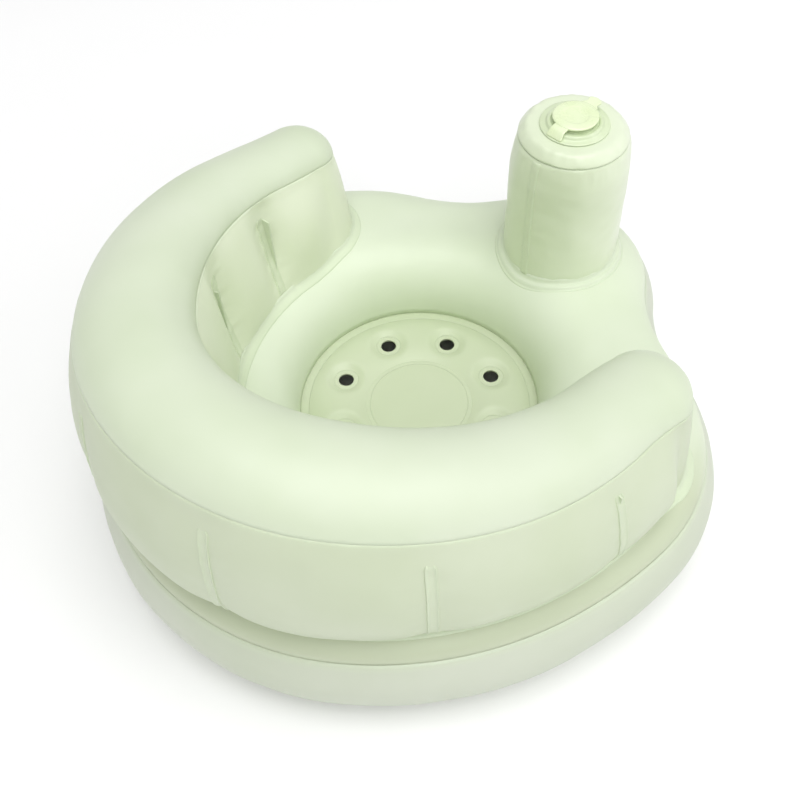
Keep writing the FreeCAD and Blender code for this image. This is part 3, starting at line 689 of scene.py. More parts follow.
def drawn_in(corner, inset, radius, share):
    """The outline drawn in by an inset, then moved a share of the way to a circle round the well."""
    x, y, out_x, out_y = OUTLINE[corner]
    x, y = x - inset * out_x, y - inset * out_y
    reach = math.hypot(x, y)
    return mix(x, x / reach * radius, share), mix(y, y / reach * radius, share)


def top_point(corner, ring):
    share, inset, radius, z, weld = top_ring(ring)
    x, y = drawn_in(corner, inset, radius, share)
    calm = smooth_step(ring, 0, 5) * (1 - smooth_step(ring, TOP_RINGS - 6, TOP_RINGS - 1))
    pucker = puckered(x, y, ring, *TOP_PUCKER) if ring else 0.0
    return at(x, y, z + film_level(x, y) * calm + pucker), weld


TOP_RINGS = SHOULDER_RINGS + FLAT_RINGS + LIP_RINGS + 2
base_top = piece("base_top_film", faced(stacked(len(OUTLINE), TOP_RINGS, top_point), UP),
                 "seat", BASE_FILM, ["base_top_panel"])

# %% [markdown]
# The side film bulges between the two seams. At the nose it is drawn in to a round flat seat for the
# deflation valve. Its height is divided evenly, and each ring is inset by a parabola.

# %% Base side film
BULGE_Z, BOTTOM_SEAM_Z, BOTTOM_SEAM_INSET = 55.0, 13.0, 13.0
SIDE_RINGS = 26
SIDE_WAVES, SIDE_PUCKER = ((0, 48.0, 0.9), (0, 17.0, 0.22)), (5.0, 0.55, 1.0, 2.2)
DEFLATE_Z, DEFLATE_SEAT_Y, DEFLATE_SEAT_R, DEFLATE_BLEND_R = 50.0, -262.4, 16.5, 27.0


def side_point(corner, ring):
    x, y, out_x, out_y = OUTLINE[corner]
    z = mix(TOP_SEAM_Z, BOTTOM_SEAM_Z, ring / (SIDE_RINGS - 1))
    inset = (TOP_SEAM_INSET * max(0.0, (z - BULGE_Z) / (TOP_SEAM_Z - BULGE_Z)) ** 2
             + BOTTOM_SEAM_INSET * max(0.0, (BULGE_Z - z) / (BULGE_Z - BOTTOM_SEAM_Z)) ** 2)
    edge = min(ring, SIDE_RINGS - 1 - ring)
    inset += rumpled(x, y, z, SIDE_WAVES) * smooth_step(edge, 0, 4)
    inset += puckered(x, y, edge, *SIDE_PUCKER) if edge else SEAM_TUCK
    px, py = x - inset * out_x, y - inset * out_y
    if py < POST_Y:
        seat = 1 - smooth_step(math.hypot(px, z - DEFLATE_Z), DEFLATE_SEAT_R, DEFLATE_BLEND_R)
        py += (DEFLATE_SEAT_Y - py) * seat
    return at(px, py, z), weld_near(edge, 0.5)


def outward(place):
    return Vector((place.x, place.y, 0))


base_side = piece("base_side_film", faced(stacked(len(OUTLINE), SIDE_RINGS, side_point), outward),
                  "seat", BAND_FILM_PAINTED_SHADE, ["base_side_band"])

# %% [markdown]
# The bottom film mirrors the top one: it rolls under from the bottom seam, lies flat on the floor, and
# rises inside to meet the seat floor, so the seat rests on a ring and its floor stays clear.

# %% Base bottom film
HEEL_INSET, UNDERSIDE_R = 46.0, 132.0
HEEL_RINGS, SOLE_RINGS, RISE_RINGS = 9, 7, 12
BOTTOM_RINGS = HEEL_RINGS + SOLE_RINGS + RISE_RINGS + 2
heel_run = HEEL_INSET - BOTTOM_SEAM_INSET
HEEL_R = (heel_run ** 2 + BOTTOM_SEAM_Z ** 2) / (2 * BOTTOM_SEAM_Z)


def bottom_point(corner, ring):
    inset, radius, share, z = HEEL_INSET, UNDERSIDE_R, 0.0, 0.0
    if ring == 0:
        inset, z = BOTTOM_SEAM_INSET + SEAM_TUCK, BOTTOM_SEAM_Z
    elif ring <= HEEL_RINGS:
        lean = math.asin(heel_run / HEEL_R) * (1 - (ring - 1) / HEEL_RINGS)
        inset, z = HEEL_INSET - HEEL_R * math.sin(lean), HEEL_R * (1 - math.cos(lean))
    elif ring <= HEEL_RINGS + SOLE_RINGS:
        share = (ring - HEEL_RINGS - 1) / SOLE_RINGS
    else:
        share = 1.0
        turn = math.pi / 2 * (ring - HEEL_RINGS - SOLE_RINGS - 1) / RISE_RINGS
        radius = UNDERSIDE_R - (UNDERSIDE_R - FLOOR_RIM_R) * math.sin(turn)
        z = (FLOOR_Z - FILM_THICKNESS) * (1 - math.cos(turn))
    return at(*drawn_in(corner, inset, radius, share), z), 1.0 if ring < 2 else 0.0


base_bottom = piece("base_bottom_film", faced(stacked(len(OUTLINE), BOTTOM_RINGS, bottom_point), -UP),
                    "seat", BAND_FILM_PAINTED_SHADE, ["base_bottom_panel"])

# %% [markdown]
# The seat floor is two skins welded together at the rim, round the middle and round eight drain
# holes, and the air between them swells a soft ring. Each skin is a stack of circles that closes at
# a pole. The holes are cut by a Boolean with a set of round bars, because a bored hole in a dense
# disc stays truly round that way.

# %% Seat floor skins
FLOOR_CORNERS, FLOOR_RINGS = 240, 66
UPPER_CROWN, MIDDLE_CROWN, LOWER_CROWN, CROWN_POWER = 4.0, 1.6, 8.0, 2.6
WELD_BAND, HOLE_EASE = 3.5, 8.0
FLOOR_TUCK = 1.2
BORE_LOW_Z, BORE_HIGH_Z = 30.0, 62.0


def swell(radius, angle):
    """How full the seat floor and its middle are: 0 on a weld and 1 where each swells most."""
    if radius <= CENTRE_WELD_R:
        return 0.0, 1 - (radius / CENTRE_WELD_R) ** 2
    inner = CENTRE_WELD_R + WELD_BAND
    full = 1 - abs(2 * limited((radius - inner) / (RIM_WELD_R - inner)) - 1) ** CROWN_POWER
    across, along = polar(radius, (angle / DRAIN_TURN) % 1.0 * DRAIN_TURN - DRAIN_TURN / 2)
    away = math.hypot(across - DRAIN_CIRCLE_R, along)
    return full * smooth_step(away, DRAIN_WELD_R - 1, DRAIN_WELD_R + HOLE_EASE), 0.0


def skin_point(sign, crown):
    """The function that places a skin above (1) or below (-1) the weld."""
    def place(corner, ring):
        radius = (FLOOR_RIM_R + FLOOR_TUCK) * (1 - ring / (FLOOR_RINGS - 1))
        angle = 2 * math.pi * corner / FLOOR_CORNERS
        full, centre = swell(radius, angle)
        x, y = polar(radius, angle)
        rise = crown * full + MIDDLE_CROWN * centre + uneven(x, y, 9, 30.0, 0.5) * full
        return at(x, y, FLOOR_Z + sign * (FILM_THICKNESS + rise)), 0.0
    return place


def bored(target, bars):
    """Cuts the bars out of a piece and keeps the result as its mesh."""
    cutter = linked("bars", bars)
    cut = target.modifiers.new("bore", "BOOLEAN")
    cut.operation = "DIFFERENCE"
    cut.object = cutter
    bpy.context.view_layer.update()
    evaluated = target.evaluated_get(bpy.context.evaluated_depsgraph_get())
    shape = bpy.data.meshes.new_from_object(evaluated)
    target.modifiers.clear()
    old, target.data = target.data, shape
    shape.name = target.name
    bpy.data.objects.remove(cutter)
    bpy.data.meshes.remove(old)
    return target


def round_bars(places, radius, low, high):
    """Upright round bars at some places."""
    bars = bmesh.new()
    for x, y in places:
        middle = Matrix.Translation(at(x, y, (low + high) / 2))
        bmesh.ops.create_cone(bars, cap_ends=True, segments=48, radius1=radius * MM, radius2=radius * MM,
                              depth=(high - low) * MM, matrix=middle)
    return bars


DRAINS = [polar(DRAIN_CIRCLE_R, (number + 0.5) * DRAIN_TURN) for number in range(DRAIN_COUNT)]
for level, sign, crown in (("upper", 1, UPPER_CROWN), ("lower", -1, LOWER_CROWN)):
    skin = faced(merged(stacked(FLOOR_CORNERS, FLOOR_RINGS, skin_point(sign, crown))), sign * UP)
    made = piece(f"seat_floor_{level}_film", skin,
                 "seat", FLOOR_FILM_PAINTED_SHADE, [f"seat_floor_{level}_skin"])
    bored(made, round_bars(DRAINS, DRAIN_R, BORE_LOW_Z, BORE_HIGH_Z))
print("drain holes", len(DRAINS))

# %% [markdown]
# The backrest is a horseshoe tube on the base. Its stations run round the whole horseshoe: out along
# one arm end, round the outside, round the other end and back along the inside. The arm ends lean
# forward as they rise, so a station also says how much of that lean it takes. Its `outer` says
# whether it is on the outer wall (1), the inner wall (0) or between.

# %% Stations of the backrest
BACKREST_INSET = 72.0
PATH_HALF_WIDTH = BASE_HALF_WIDTH - BACKREST_INSET
ARM_LENGTH, ARM_LEAN, ARM_SPLAY, ARM_SWAY = 41.0, 4.0, 0.0015, 3.0
WALL_SEAM_Z, SEAM_TILT = 193.3, math.radians(11.6)
BAND_JOIN = 40.0
PATH_STEP, ARM_STEPS = 2.6, 14
END_OUTER_STEPS, END_INNER_STEPS = 12, 42

Station = namedtuple("Station", "x y lean out_x out_y outer")


def end_turn(side, first, last, count):
    """Stations round an arm end: all of them lean fully."""
    ways = [polar(1.0, math.radians(first + (last - first) * n / count)) for n in range(count)]
    return [Station(side * PATH_HALF_WIDTH, 0.0, 1.0, *way, (1 + side * way[0]) / 2) for way in ways]


def arm_run(side, out_x, first, last):
    """Stations along an arm's flank, from one share of the arm's reach to another."""
    leans = [first + (last - first) * n / ARM_STEPS for n in range(ARM_STEPS)]
    return [Station(side * PATH_HALF_WIDTH, 0.0, lean, out_x, 0.0, (1 + side * out_x) / 2) for lean in leans]


path = rear_arcs(BACKREST_INSET, PATH_STEP) + [(-PATH_HALF_WIDTH, 0.0, -1.0, 0.0)]
OUTER = (end_turn(1, -BAND_JOIN, 0, END_OUTER_STEPS) + arm_run(1, 1.0, 1.0, 0.0)
         + [Station(x, y, 0.0, ox, oy, 1.0) for x, y, ox, oy in path[:-1]] + arm_run(-1, -1.0, 0.0, 1.0)
         + end_turn(-1, 180, 180 + BAND_JOIN, END_OUTER_STEPS))
INNER = (end_turn(-1, 180 + BAND_JOIN, 360, END_INNER_STEPS) + arm_run(-1, 1.0, 1.0, 0.0)
         + [Station(x, y, 0.0, -ox, -oy, 0.0) for x, y, ox, oy in reversed(path[1:])]
         + arm_run(1, -1.0, 0.0, 1.0) + end_turn(1, 180, 360 - BAND_JOIN, END_INNER_STEPS))
ROUND = OUTER + INNER
print("horseshoe", len(ROUND), "stations")

# %% [markdown]
# Inside, six upright webs tie the outer wall to the inner one. Blown tight, each wall swells between
# its foot and its seam, but it is pinched along every web, where small creases start, and it stays
# nearly straight at the arm ends. One function gives any point of either wall, so that every seam
# and mark can lie on it. Each pair of values is for the inner and the outer wall, and of two pairs
# the first is for the rear and the second for the arm ends.

# %% Shape of the walls
WEB_SIDE_ANGLES, WEB_REAR_ANGLES = (9.0, 33.5, 142.0, 172.0), (72.0, 107.8)
FOOT_HALF = (47.8, 39.7)
BULGE_HALVES = ((54.0, 63.0), (50.0, 52.6))
SEAM_HALVES = ((41.3, 43.8), (35.4, 30.6))
INNER_SEAM_RISE = 8.4
BULGE_SHARE, BELOW_POWER, ABOVE_POWER = 0.34, 2.2, 2.0
PINCH_REACH, PINCH_SHARES = 16.0, (1.65, 0.14)
CREASE_REACH, CREASE_DEPTHS, CREASE_SIZE, CREASE_STRETCH = 15.0, (1.1, 0.8), 8.0, 0.5
PUCKER_SIZE, PUCKER_HEIGHT, PUCKER_FADE, PUCKER_STRETCH = 6.0, 0.55, 0.06, 0.3
WALL_WAVES = ((0, 55.0, 1.3), (80, 19.0, 0.25))
END_HOLD, END_FADE_START, END_FADE_ENDS = 0.95, 0.35, (1.1, 1.0)
EASED_FOOT, EASED_SEAM, PUCKER_START = 0.12, 0.9, 0.02


def web_place(centre, radius, angle):
    """Where a web crosses the centre line, and the direction that it points out in."""
    out_x, out_y = polar(1.0, math.radians(angle))
    return centre[0] + radius * out_x, centre[1] + radius * out_y, out_x, out_y


REAR_PATH_R = BASE_REAR_REACH - BACKREST_INSET - REAR_Y
WEBS = [web_place((0, REAR_Y), REAR_PATH_R, angle) for angle in WEB_REAR_ANGLES]
for angle in WEB_SIDE_ANGLES:
    WEBS.append(web_place((math.copysign(SIDE_X, angle - 90), 0), PATH_HALF_WIDTH + SIDE_X, angle))
WEB_ENDS = [(x + side * FOOT_HALF[0] * ox, y + side * FOOT_HALF[0] * oy)
            for x, y, ox, oy in WEBS for side in (1, -1)]


def along_arm(station):
    """0 at the rear of the horseshoe and 1 at its arm ends, where the tube is slimmer."""
    ahead = station.lean * ARM_LENGTH - station.y
    return smooth_step(ahead, -BASE_REAR_REACH + BACKREST_INSET, ARM_LENGTH)


def foot_half(station):
    return mix(*FOOT_HALF, station.outer)


def half_at(station, halves):
    """Half the tube's width at a station."""
    rear, arm = halves
    return mix(mix(*rear, station.outer), mix(*arm, station.outer), along_arm(station))


def stood(station, z, reach):
    """The plan place at a reach out from the backrest's centre line, at a height."""
    risen = (z - BASE_TOP_Z) / (WALL_SEAM_Z - BASE_TOP_Z)
    ahead = -station.lean * (ARM_LENGTH + ARM_LEAN * risen)
    splay = math.copysign(ARM_SPLAY * ahead ** 2, station.x)
    sway = ARM_SWAY * limited(risen) * along_arm(station) ** 2
    return station.x + (splay + sway) + reach * station.out_x, station.y + ahead + reach * station.out_y


def seam_level(x, y, outer):
    """Height of the top seam at a place. The inner wall is cut a little taller."""
    return WALL_SEAM_Z + y * math.tan(SEAM_TILT) + INNER_SEAM_RISE * (1 - outer)


@cache
def wall_ends(station):
    """Heights of the wall's foot and seam at a station."""
    foot = base_height(*stood(station, BASE_TOP_Z, foot_half(station)))
    return foot, seam_level(*stood(station, WALL_SEAM_Z, half_at(station, SEAM_HALVES)), station.outer)


def wall_half(station, share, web):
    """Reach of the wall at a share of its height. Near a web it is held close to a straight line."""
    foot, bulge, seam = foot_half(station), half_at(station, BULGE_HALVES), half_at(station, SEAM_HALVES)
    if share < BULGE_SHARE:
        full = bulge - (bulge - foot) * (1 - share / BULGE_SHARE) ** BELOW_POWER
    else:
        full = bulge - (bulge - seam) * ((share - BULGE_SHARE) / (1 - BULGE_SHARE)) ** ABOVE_POWER
    pinched = mix(*PINCH_SHARES, station.outer) * bell(web, PINCH_REACH)
    held = END_HOLD * smooth_step(station.lean, END_FADE_START, mix(*END_FADE_ENDS, station.outer))
    return mix(full, mix(foot, seam, share), max(pinched, held))


def wall_point(station, share, lift=0.0):
    """A point of the wall: share is 0 at the foot and 1 at the seam, lift is outwards."""
    foot, seam = wall_ends(station)
    z = mix(foot, seam, share)
    x, y = stood(station, z, FOOT_HALF[0])
    web = min(math.hypot(x - wx, y - wy) for wx, wy in WEB_ENDS)
    ease = smooth_step(share, 0.0, EASED_FOOT) * (1 - smooth_step(share, EASED_SEAM, 1.0))
    depth = mix(*CREASE_DEPTHS, station.outer) * bell(web, CREASE_REACH)
    crease = uneven(x * CREASE_STRETCH, y * CREASE_STRETCH, z, CREASE_SIZE, depth) * ease
    edge = min(share, 1 - share)
    pucker = uneven(x, y, z * PUCKER_STRETCH, PUCKER_SIZE, PUCKER_HEIGHT) * bell(edge, PUCKER_FADE)
    pucker *= smooth_step(edge, 0.0, PUCKER_START)
    broad = rumpled(x, y, z, WALL_WAVES) * ease
    x, y = stood(station, z, wall_half(station, share, web) + crease + pucker + broad + lift)
    return x, y, z


print("webs", len(WEBS), "first wall point", [round(v, 1) for v in wall_point(ROUND[100], 0.5)])

# %% [markdown]
# Each wall is a laid sheet over its own part of the stations, and the two meet on the arm ends. Rows
# crowd together at the foot and the seam, where the film turns most.

# %% Backrest walls
WALL_ROWS, ROW_CROWDING = 46, 0.22


def wall_share(row):
    """Row to height share, closer together at both edges."""
    share = row / (WALL_ROWS - 1)
    return share - ROW_CROWDING * math.sin(2 * math.pi * share) / (2 * math.pi)


def wall_sheet(stations):
    def place(column, row):
        edge = min(row, WALL_ROWS - 1 - row)
        tuck = 0.0 if edge else -SEAM_TUCK
        return at(*wall_point(stations[column], wall_share(row), tuck)), weld_near(edge, 0.4)
    return laid(len(stations), WALL_ROWS, place)


outer_sheet = faced(wall_sheet(OUTER + INNER[:1]), outward)
inner_sheet = faced(wall_sheet(INNER + OUTER[:1]), lambda place: -outward(place))
outer_wall = piece("backrest_outer_film", outer_sheet,
                   "seat", WALL_FILM_PAINTED_SHADE, ["backrest_outer_wall"])
inner_wall = piece("backrest_inner_film", inner_sheet,
                   "seat", INNER_FILM_PAINTED_LIGHT, ["backrest_inner_wall"])

# %% [markdown]
# The dome closes the horseshoe. It is a stack round all the stations: its edge is tucked behind the
# walls, then rings climb an ellipse, sloped from the first, and draw in to the centre line, where the
# outer and inner corners meet and are merged. It lies on the tilted seam plane, so the backrest is
# highest at the rear.

# %% Backrest dome
DOME_HEIGHT_REAR, DOME_HEIGHT_ARM, DOME_RINGS = 31.0, 22.0, 26
DOME_START, DOME_FULLNESS, DOME_OVERLAP = math.radians(12.0), 0.93, 0.5
DOME_DENTS = (
    (228.0, 84.0, 13.0, -1.8),
    (211.0, 122.0, 11.0, -1.5),
)
DOME_WAVES, DOME_PUCKER = ((0, 52.0, 1.2), (30, 20.0, 0.22)), (6.0, 0.6, 3.5, 1.6)


def dome_point(corner, ring):
    station = ROUND[corner]
    turn = mix(DOME_START, math.pi / 2, max(0.0, (ring - 1) / (DOME_RINGS - 2)))
    climbed = (math.sin(turn) - math.sin(DOME_START)) / (1 - math.sin(DOME_START))
    half = half_at(station, SEAM_HALVES)
    reach = half * math.cos(turn) / math.cos(DOME_START) if ring else half - DOME_OVERLAP
    x, y = stood(station, WALL_SEAM_Z, reach)
    up = mix(DOME_HEIGHT_REAR, DOME_HEIGHT_ARM, along_arm(station)) * climbed ** DOME_FULLNESS
    up += rumpled(x, y, 0, DOME_WAVES) * smooth_step(ring, 0, 6)
    up += puckered(x, y, ring, *DOME_PUCKER) + dented(x, y, DOME_DENTS)
    up -= 0.0 if ring else DOME_OVERLAP
    z = seam_level(x, y, mix(0.5, station.outer, math.cos(turn))) + up * math.cos(SEAM_TILT)
    return at(x, y - up * math.sin(SEAM_TILT), z), weld_near(ring, 0.4)


dome_sheet = merged(stacked(len(ROUND), DOME_RINGS, dome_point), 0.4)
dome = piece("backrest_dome_film", faced(dome_sheet, UP),
             "seat", BACK_FILM, ["backrest_top_panel"])

# %% [markdown]
# Where a web is welded to a wall, the weld bar leaves a flat strip with round ends and a raised rim.
# It is a narrow sheet laid on the wall: its width follows the strip's outline and its corners rise
# over the rim. A short profile of places across and lifts gives the rim most columns. The marks of
# the outer wall are one piece and those of the inner wall another, each in its wall's film.

# %% Web weld marks
MARK_LOW, MARK_HIGHS = 0.03, (0.84, 0.88)
MARK_HALF_WIDTH, MARK_ROWS, MARK_RIM_REACH = 4.2, 46, 2.5
MARK_HALF = ((0.3, 0.15), (0.6, 0.25), (0.74, 0.85), (0.86, 0.95), (0.94, 0.4), (1.0, -0.5))
MARK_PROFILE = [(-out, lift) for out, lift in reversed(MARK_HALF)] + [(0.0, 0.15), *MARK_HALF]


def mark_sheet(web, side):
    """The weld mark of one web on the outer (1) or inner (-1) wall."""
    x, y, out_x, out_y = web
    way = (side * out_x, side * out_y)
    high = MARK_HIGHS[(1 + side) // 2]
    height = (high - MARK_LOW) * (WALL_SEAM_Z - BASE_TOP_Z)

    def place(column, row):
        share = (1 - math.cos(math.pi * row / (MARK_ROWS - 1))) / 2
        from_end = min(share, 1 - share) * height
        short = max(0.0, 1 - from_end / MARK_HALF_WIDTH)
        out, lift = MARK_PROFILE[column]
        shift = out * MARK_HALF_WIDTH * math.sqrt(max(0.0004, 1 - short ** 2))
        lift = mix(MARK_PROFILE[0][1], lift, smooth_step(from_end, 0.0, MARK_RIM_REACH))
        station = Station(x - shift * out_y, y + shift * out_x, 0.0, *way, (1 + side) / 2)
        return at(*wall_point(station, mix(MARK_LOW, high, share), lift)), 0.8
    return faced(laid(len(MARK_PROFILE), MARK_ROWS, place), Vector((*way, 0)))


def together(parts):
    """Several meshes in one."""
    whole = bmesh.new()
    for part in parts:
        kept = bpy.data.meshes.new("part")
        part.to_mesh(kept)
        part.free()
        whole.from_mesh(kept)
        bpy.data.meshes.remove(kept)
    return whole


for name, side, material in (("outer_weld_marks", 1, WALL_FILM_PAINTED_SHADE), ("inner_weld_marks", -1, INNER_FILM_PAINTED_LIGHT)):
    marks = together([mark_sheet(web, side) for web in WEBS])
    piece(name, marks, "seat", material, thickness=0.3)

# %% [markdown]
# The walls stand on a flange: the film is turned out at the foot and welded flat to the base, so a
# strip a few millimetres wide runs round the whole horseshoe, with a soft fillet up to the wall.

# %% Backrest foot weld
FOOT_PROFILE = ((7.8, -0.5, 1.0), (7.2, 0.55, 1.0), (6.4, 0.8, 0.8), (4.6, 0.75, 0.7),
                (2.8, 0.8, 0.5), (1.2, 1.4, 0.2), (0.2, 2.8, 0.0), (-0.8, 5.2, 0.0))
FOOT_WAVE = (9.0, 0.5)


def foot_point(corner, ring):
    """A point of the flange. Each row of its profile is a reach, a lift and a weld value."""
    station = ROUND[corner]
    reach, lift, weld = FOOT_PROFILE[ring]
    wave = uneven(corner * PATH_STEP, 0, 0, *FOOT_WAVE) * smooth_step(ring, 0, 2)
    x, y = stood(station, BASE_TOP_Z, foot_half(station) + reach + wave)
    rise = film_level(x, y) if reach > 1 else 0.0
    return at(x, y, base_height(x, y) + lift + rise), weld


piece("backrest_foot_weld", faced(stacked(len(ROUND), len(FOOT_PROFILE), foot_point), UP),
      "seat", BACK_FILM, thickness=0.4)

# %% [markdown]
# On each arm end the outer wall laps over the inner one. The lap is a strip on the wall, a film's
# thickness proud, with its edges turned down.

# %% Arm lap strips
LAP_WIDTH, LAP_ROWS = 8.0, 40
LAP_LOW, LAP_HIGH = 0.012, 0.988
LAP_COLUMNS = (0.0, 0.06, 0.15, 0.5, 0.85, 0.94, 1.0)
LAP_LIFTS = (-0.5, 0.5, 0.8, 0.85, 0.8, 0.5, -0.5)


def lap_sheet(side):
    sweep = math.degrees(LAP_WIDTH / FOOT_HALF[0])

    def place(column, row):
        turn = math.radians(-BAND_JOIN - sweep * LAP_COLUMNS[column])
        out_x, out_y = polar(1.0, turn)
        station = Station(side * PATH_HALF_WIDTH, 0.0, 1.0, side * out_x, out_y, (1 + out_x) / 2)
        share = mix(LAP_LOW, LAP_HIGH, row / (LAP_ROWS - 1))
        return at(*wall_point(station, share, LAP_LIFTS[column])), 0.6
    return faced(laid(len(LAP_COLUMNS), LAP_ROWS, place), -BACK)


piece("arm_lap_strips", together([lap_sheet(side) for side in (1, -1)]),
      "seat", BACK_FILM, ["arm_end_lap_seams"], thickness=0.3)

# %% [markdown]
# The post is a sleeve of film round a block of foam. Pressing it works the pump, so sleeve and foam
# squash towards the base as the head goes down. The sleeve is a stack of circles with a puckered
# top, where it is gathered into the seam, and a few slack creases down its side.

# %% Post sleeve
POST_FOOT_R, POST_SHOULDER_R, POST_SEAM_R = 50.2, 49.4, 44.8
POST_LOW_Z, POST_SHOULDER_Z, POST_SEAM_Z = 105.3, 200.0, 230.7
POST_CORNERS, POST_RINGS = 192, 64
FOOT_TUCK, FOOT_TUCK_FADE, GATHER_POWER = 1.4, 14.0, 1.8
CREASE_CIRCLE_R, SLACK_CREASES = 50.0, ((0.45, 22.0, 0.9), (1.8, 17.0, 0.4))
GATHER_PUCKER, GATHER_FADE = (0.12, 5.5, 0.8), 13.0
FOOT_PUCKER, FOOT_FADE = (0.2, 6.5, 0.6), 9.0


def post_radius(z):
    """The sleeve's radius at a height: nearly straight, then gathered to the seam."""
    share = (z - POST_LOW_Z) / (POST_SHOULDER_Z - POST_LOW_Z)
    if share <= 1:
        return mix(POST_FOOT_R, POST_SHOULDER_R, share) - FOOT_TUCK * math.exp(-share * FOOT_TUCK_FADE)
    turn = (z - POST_SHOULDER_Z) / (POST_SEAM_Z - POST_SHOULDER_Z)
    return POST_SHOULDER_R - (POST_SHOULDER_R - POST_SEAM_R) * turn ** GATHER_POWER


def sleeve_bow(angle, z):
    """Small slack creases and puckers of the sleeve, in millimetres. Each kind has its own stretch."""
    below, above = POST_SEAM_Z - z, z - POST_LOW_Z

    def creased(stretch, reach, height):
        return uneven(*polar(CREASE_CIRCLE_R, angle), z * stretch, reach, height)

    bow = sum(creased(*crease) for crease in SLACK_CREASES)
    bow += creased(*GATHER_PUCKER) * bell(below, GATHER_FADE)
    bow += creased(*FOOT_PUCKER) * bell(above, FOOT_FADE)
    return bow * smooth_step(below, 0, 4) * smooth_step(above, 0, 6)


def sleeve_place(angle, z, lift):
    """A place on the sleeve, or lifted off it."""
    x, y = polar(post_radius(z) + sleeve_bow(angle, z) + lift, angle)
    return at(x, POST_Y + y, z)


def sleeve_point(corner, ring):
    z = mix(POST_LOW_Z, POST_SEAM_Z, ring / (POST_RINGS - 1))
    tuck = 0.4 if ring == POST_RINGS - 1 else 0.0
    return sleeve_place(2 * math.pi * corner / POST_CORNERS, z, -tuck), 1.0 if tuck else 0.0


def from_post(place):
    return place - at(0, POST_Y, place.z / MM)


def pressed(made):
    """Gives a piece its own copy of its mesh."""
    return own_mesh(made)


sleeve = piece("post_sleeve_film", faced(stacked(POST_CORNERS, POST_RINGS, sleeve_point), from_post),
               "seat", POST_FILM, ["post_sleeve"])
pressed(sleeve)

# %% [markdown]
# The sleeve closes in a lap on the side of the seat. The strip follows the sleeve's own creases.
# Inside stands the foam, a plain round block with a soft edge, spun from its half section.

# %% Post lap and foam
POST_LAP_WIDTH, POST_LAP_ROWS, POST_LAP_LOW, POST_LAP_HIGH = 8.0, 60, 0.01, 0.99
FOAM_R, FOAM_LOW_Z, FOAM_EDGE = 44.5, 106.8, 2.0


def post_lap_point(column, row):
    angle = math.pi / 2 + (LAP_COLUMNS[column] - 0.5) * POST_LAP_WIDTH / POST_SHOULDER_R
    z = mix(POST_LOW_Z, POST_SEAM_Z, mix(POST_LAP_LOW, POST_LAP_HIGH, row / (POST_LAP_ROWS - 1)))
    return sleeve_place(angle, z, LAP_LIFTS[column]), 0.7


def spun(profile, steps, centre):
    """A full turn of a closed profile of (radius, height) points round an upright axis."""
    bm = bmesh.new()
    bm.verts.layers.float.new("weld")
    corners = [bm.verts.new(at(centre[0] + r, centre[1], z)) for r, z in profile]
    edges = [bm.edges.new(pair) for pair in zip(corners, corners[1:] + corners[:1])]
    if profile[0][0] < 1e-6:
        bm.edges.remove(edges.pop())
    bmesh.ops.spin(bm, geom=corners + edges, cent=at(*centre, 0), axis=UP, angle=2 * math.pi, steps=steps,
                   use_merge=True)
    merged(bm, 0.001)
    bmesh.ops.recalc_face_normals(bm, faces=bm.faces)
    return bm


post_lap = piece("post_lap_strip", faced(laid(len(LAP_COLUMNS), POST_LAP_ROWS, post_lap_point), BACK),
                 "seat", POST_FILM, ["post_lap_seam"], thickness=0.3)
pressed(post_lap)
FOAM_PROFILE = ((0, FOAM_LOW_Z), (FOAM_R - FOAM_EDGE, FOAM_LOW_Z), (FOAM_R, FOAM_LOW_Z + FOAM_EDGE),
                (FOAM_R, POST_SEAM_Z - FOAM_EDGE), (FOAM_R - FOAM_EDGE, POST_SEAM_Z), (0, POST_SEAM_Z))
foam = piece("foam_block", spun(FOAM_PROFILE, TURN_STEPS, (0, POST_Y)),
             "seat", FOAM, ["pump_foam"], thickness=0, sharp=30)
pressed(foam)

# %% [markdown]
# At the foot of the post the sleeve's edge is rolled outwards and welded down. The roll stands up like
# a soft bead, then a flat flange runs a few millimetres further out over the base.

# %% Post foot weld
CURL_PROFILE = ((8.0, -0.6), (7.7, 0.45), (7.1, 0.65), (6.5, 0.6), (6.0, 0.9), (5.4, 2.0),
                (4.4, 2.9), (3.2, 2.9), (1.9, 2.5), (0.8, 3.2), (0.2, 5.0), (-0.4, 7.5))
CURL_CIRCLE_R, CURL_WAVE, WAVE_OUT, WAVE_UP = 40.0, (8.0, 0.8), 0.6, 0.12
CURL_ROOT, CURL_SETTLED = 8.0, 0.5


def curl_point(corner, ring):
    """A point of the roll and flange. Each row of the profile is a reach and a lift."""
    reach, lift = CURL_PROFILE[ring]
    angle = 2 * math.pi * corner / POST_CORNERS
    wave = uneven(*polar(CURL_CIRCLE_R, angle), 0, *CURL_WAVE) * smooth_step(ring, 0, 3)
    x, y = polar(post_radius(POST_LOW_Z + CURL_ROOT) + reach + wave * WAVE_OUT, angle)
    y += POST_Y
    lift = lift * (1 + WAVE_UP * wave) + film_level(x, y) * CURL_SETTLED
    return at(x, y, base_height(x, y) + lift), 1.0 if ring < 4 else 0.3


piece("post_foot_weld", faced(stacked(POST_CORNERS, len(CURL_PROFILE), curl_point), UP),
      "seat", BASE_FILM, thickness=0.3)

# %% [markdown]
# The post's head is a flat disc in a sloped, slightly gathered border. It rides down with the pump.
# The base film under the post is bored for the inlet valve.

# %% Post head
HEAD_PROFILE = ((44.4, 230.8), (44.9, 231.7), (44.4, 232.9), (42.6, 235.3), (40.6, 237.6), (39.2, 238.9),
                (37.8, 239.6), (35.6, 239.9), (33.0, 239.9), (29.5, 239.9), (24.0, 239.9), (13.3, 239.9))
HEAD_WAVES = ((0, 7.0, 0.9), (50, 16.0, 0.5))
INLET_HOLE_R, INLET_LOW_Z, INLET_HIGH_Z = 13.3, 90.0, 115.0


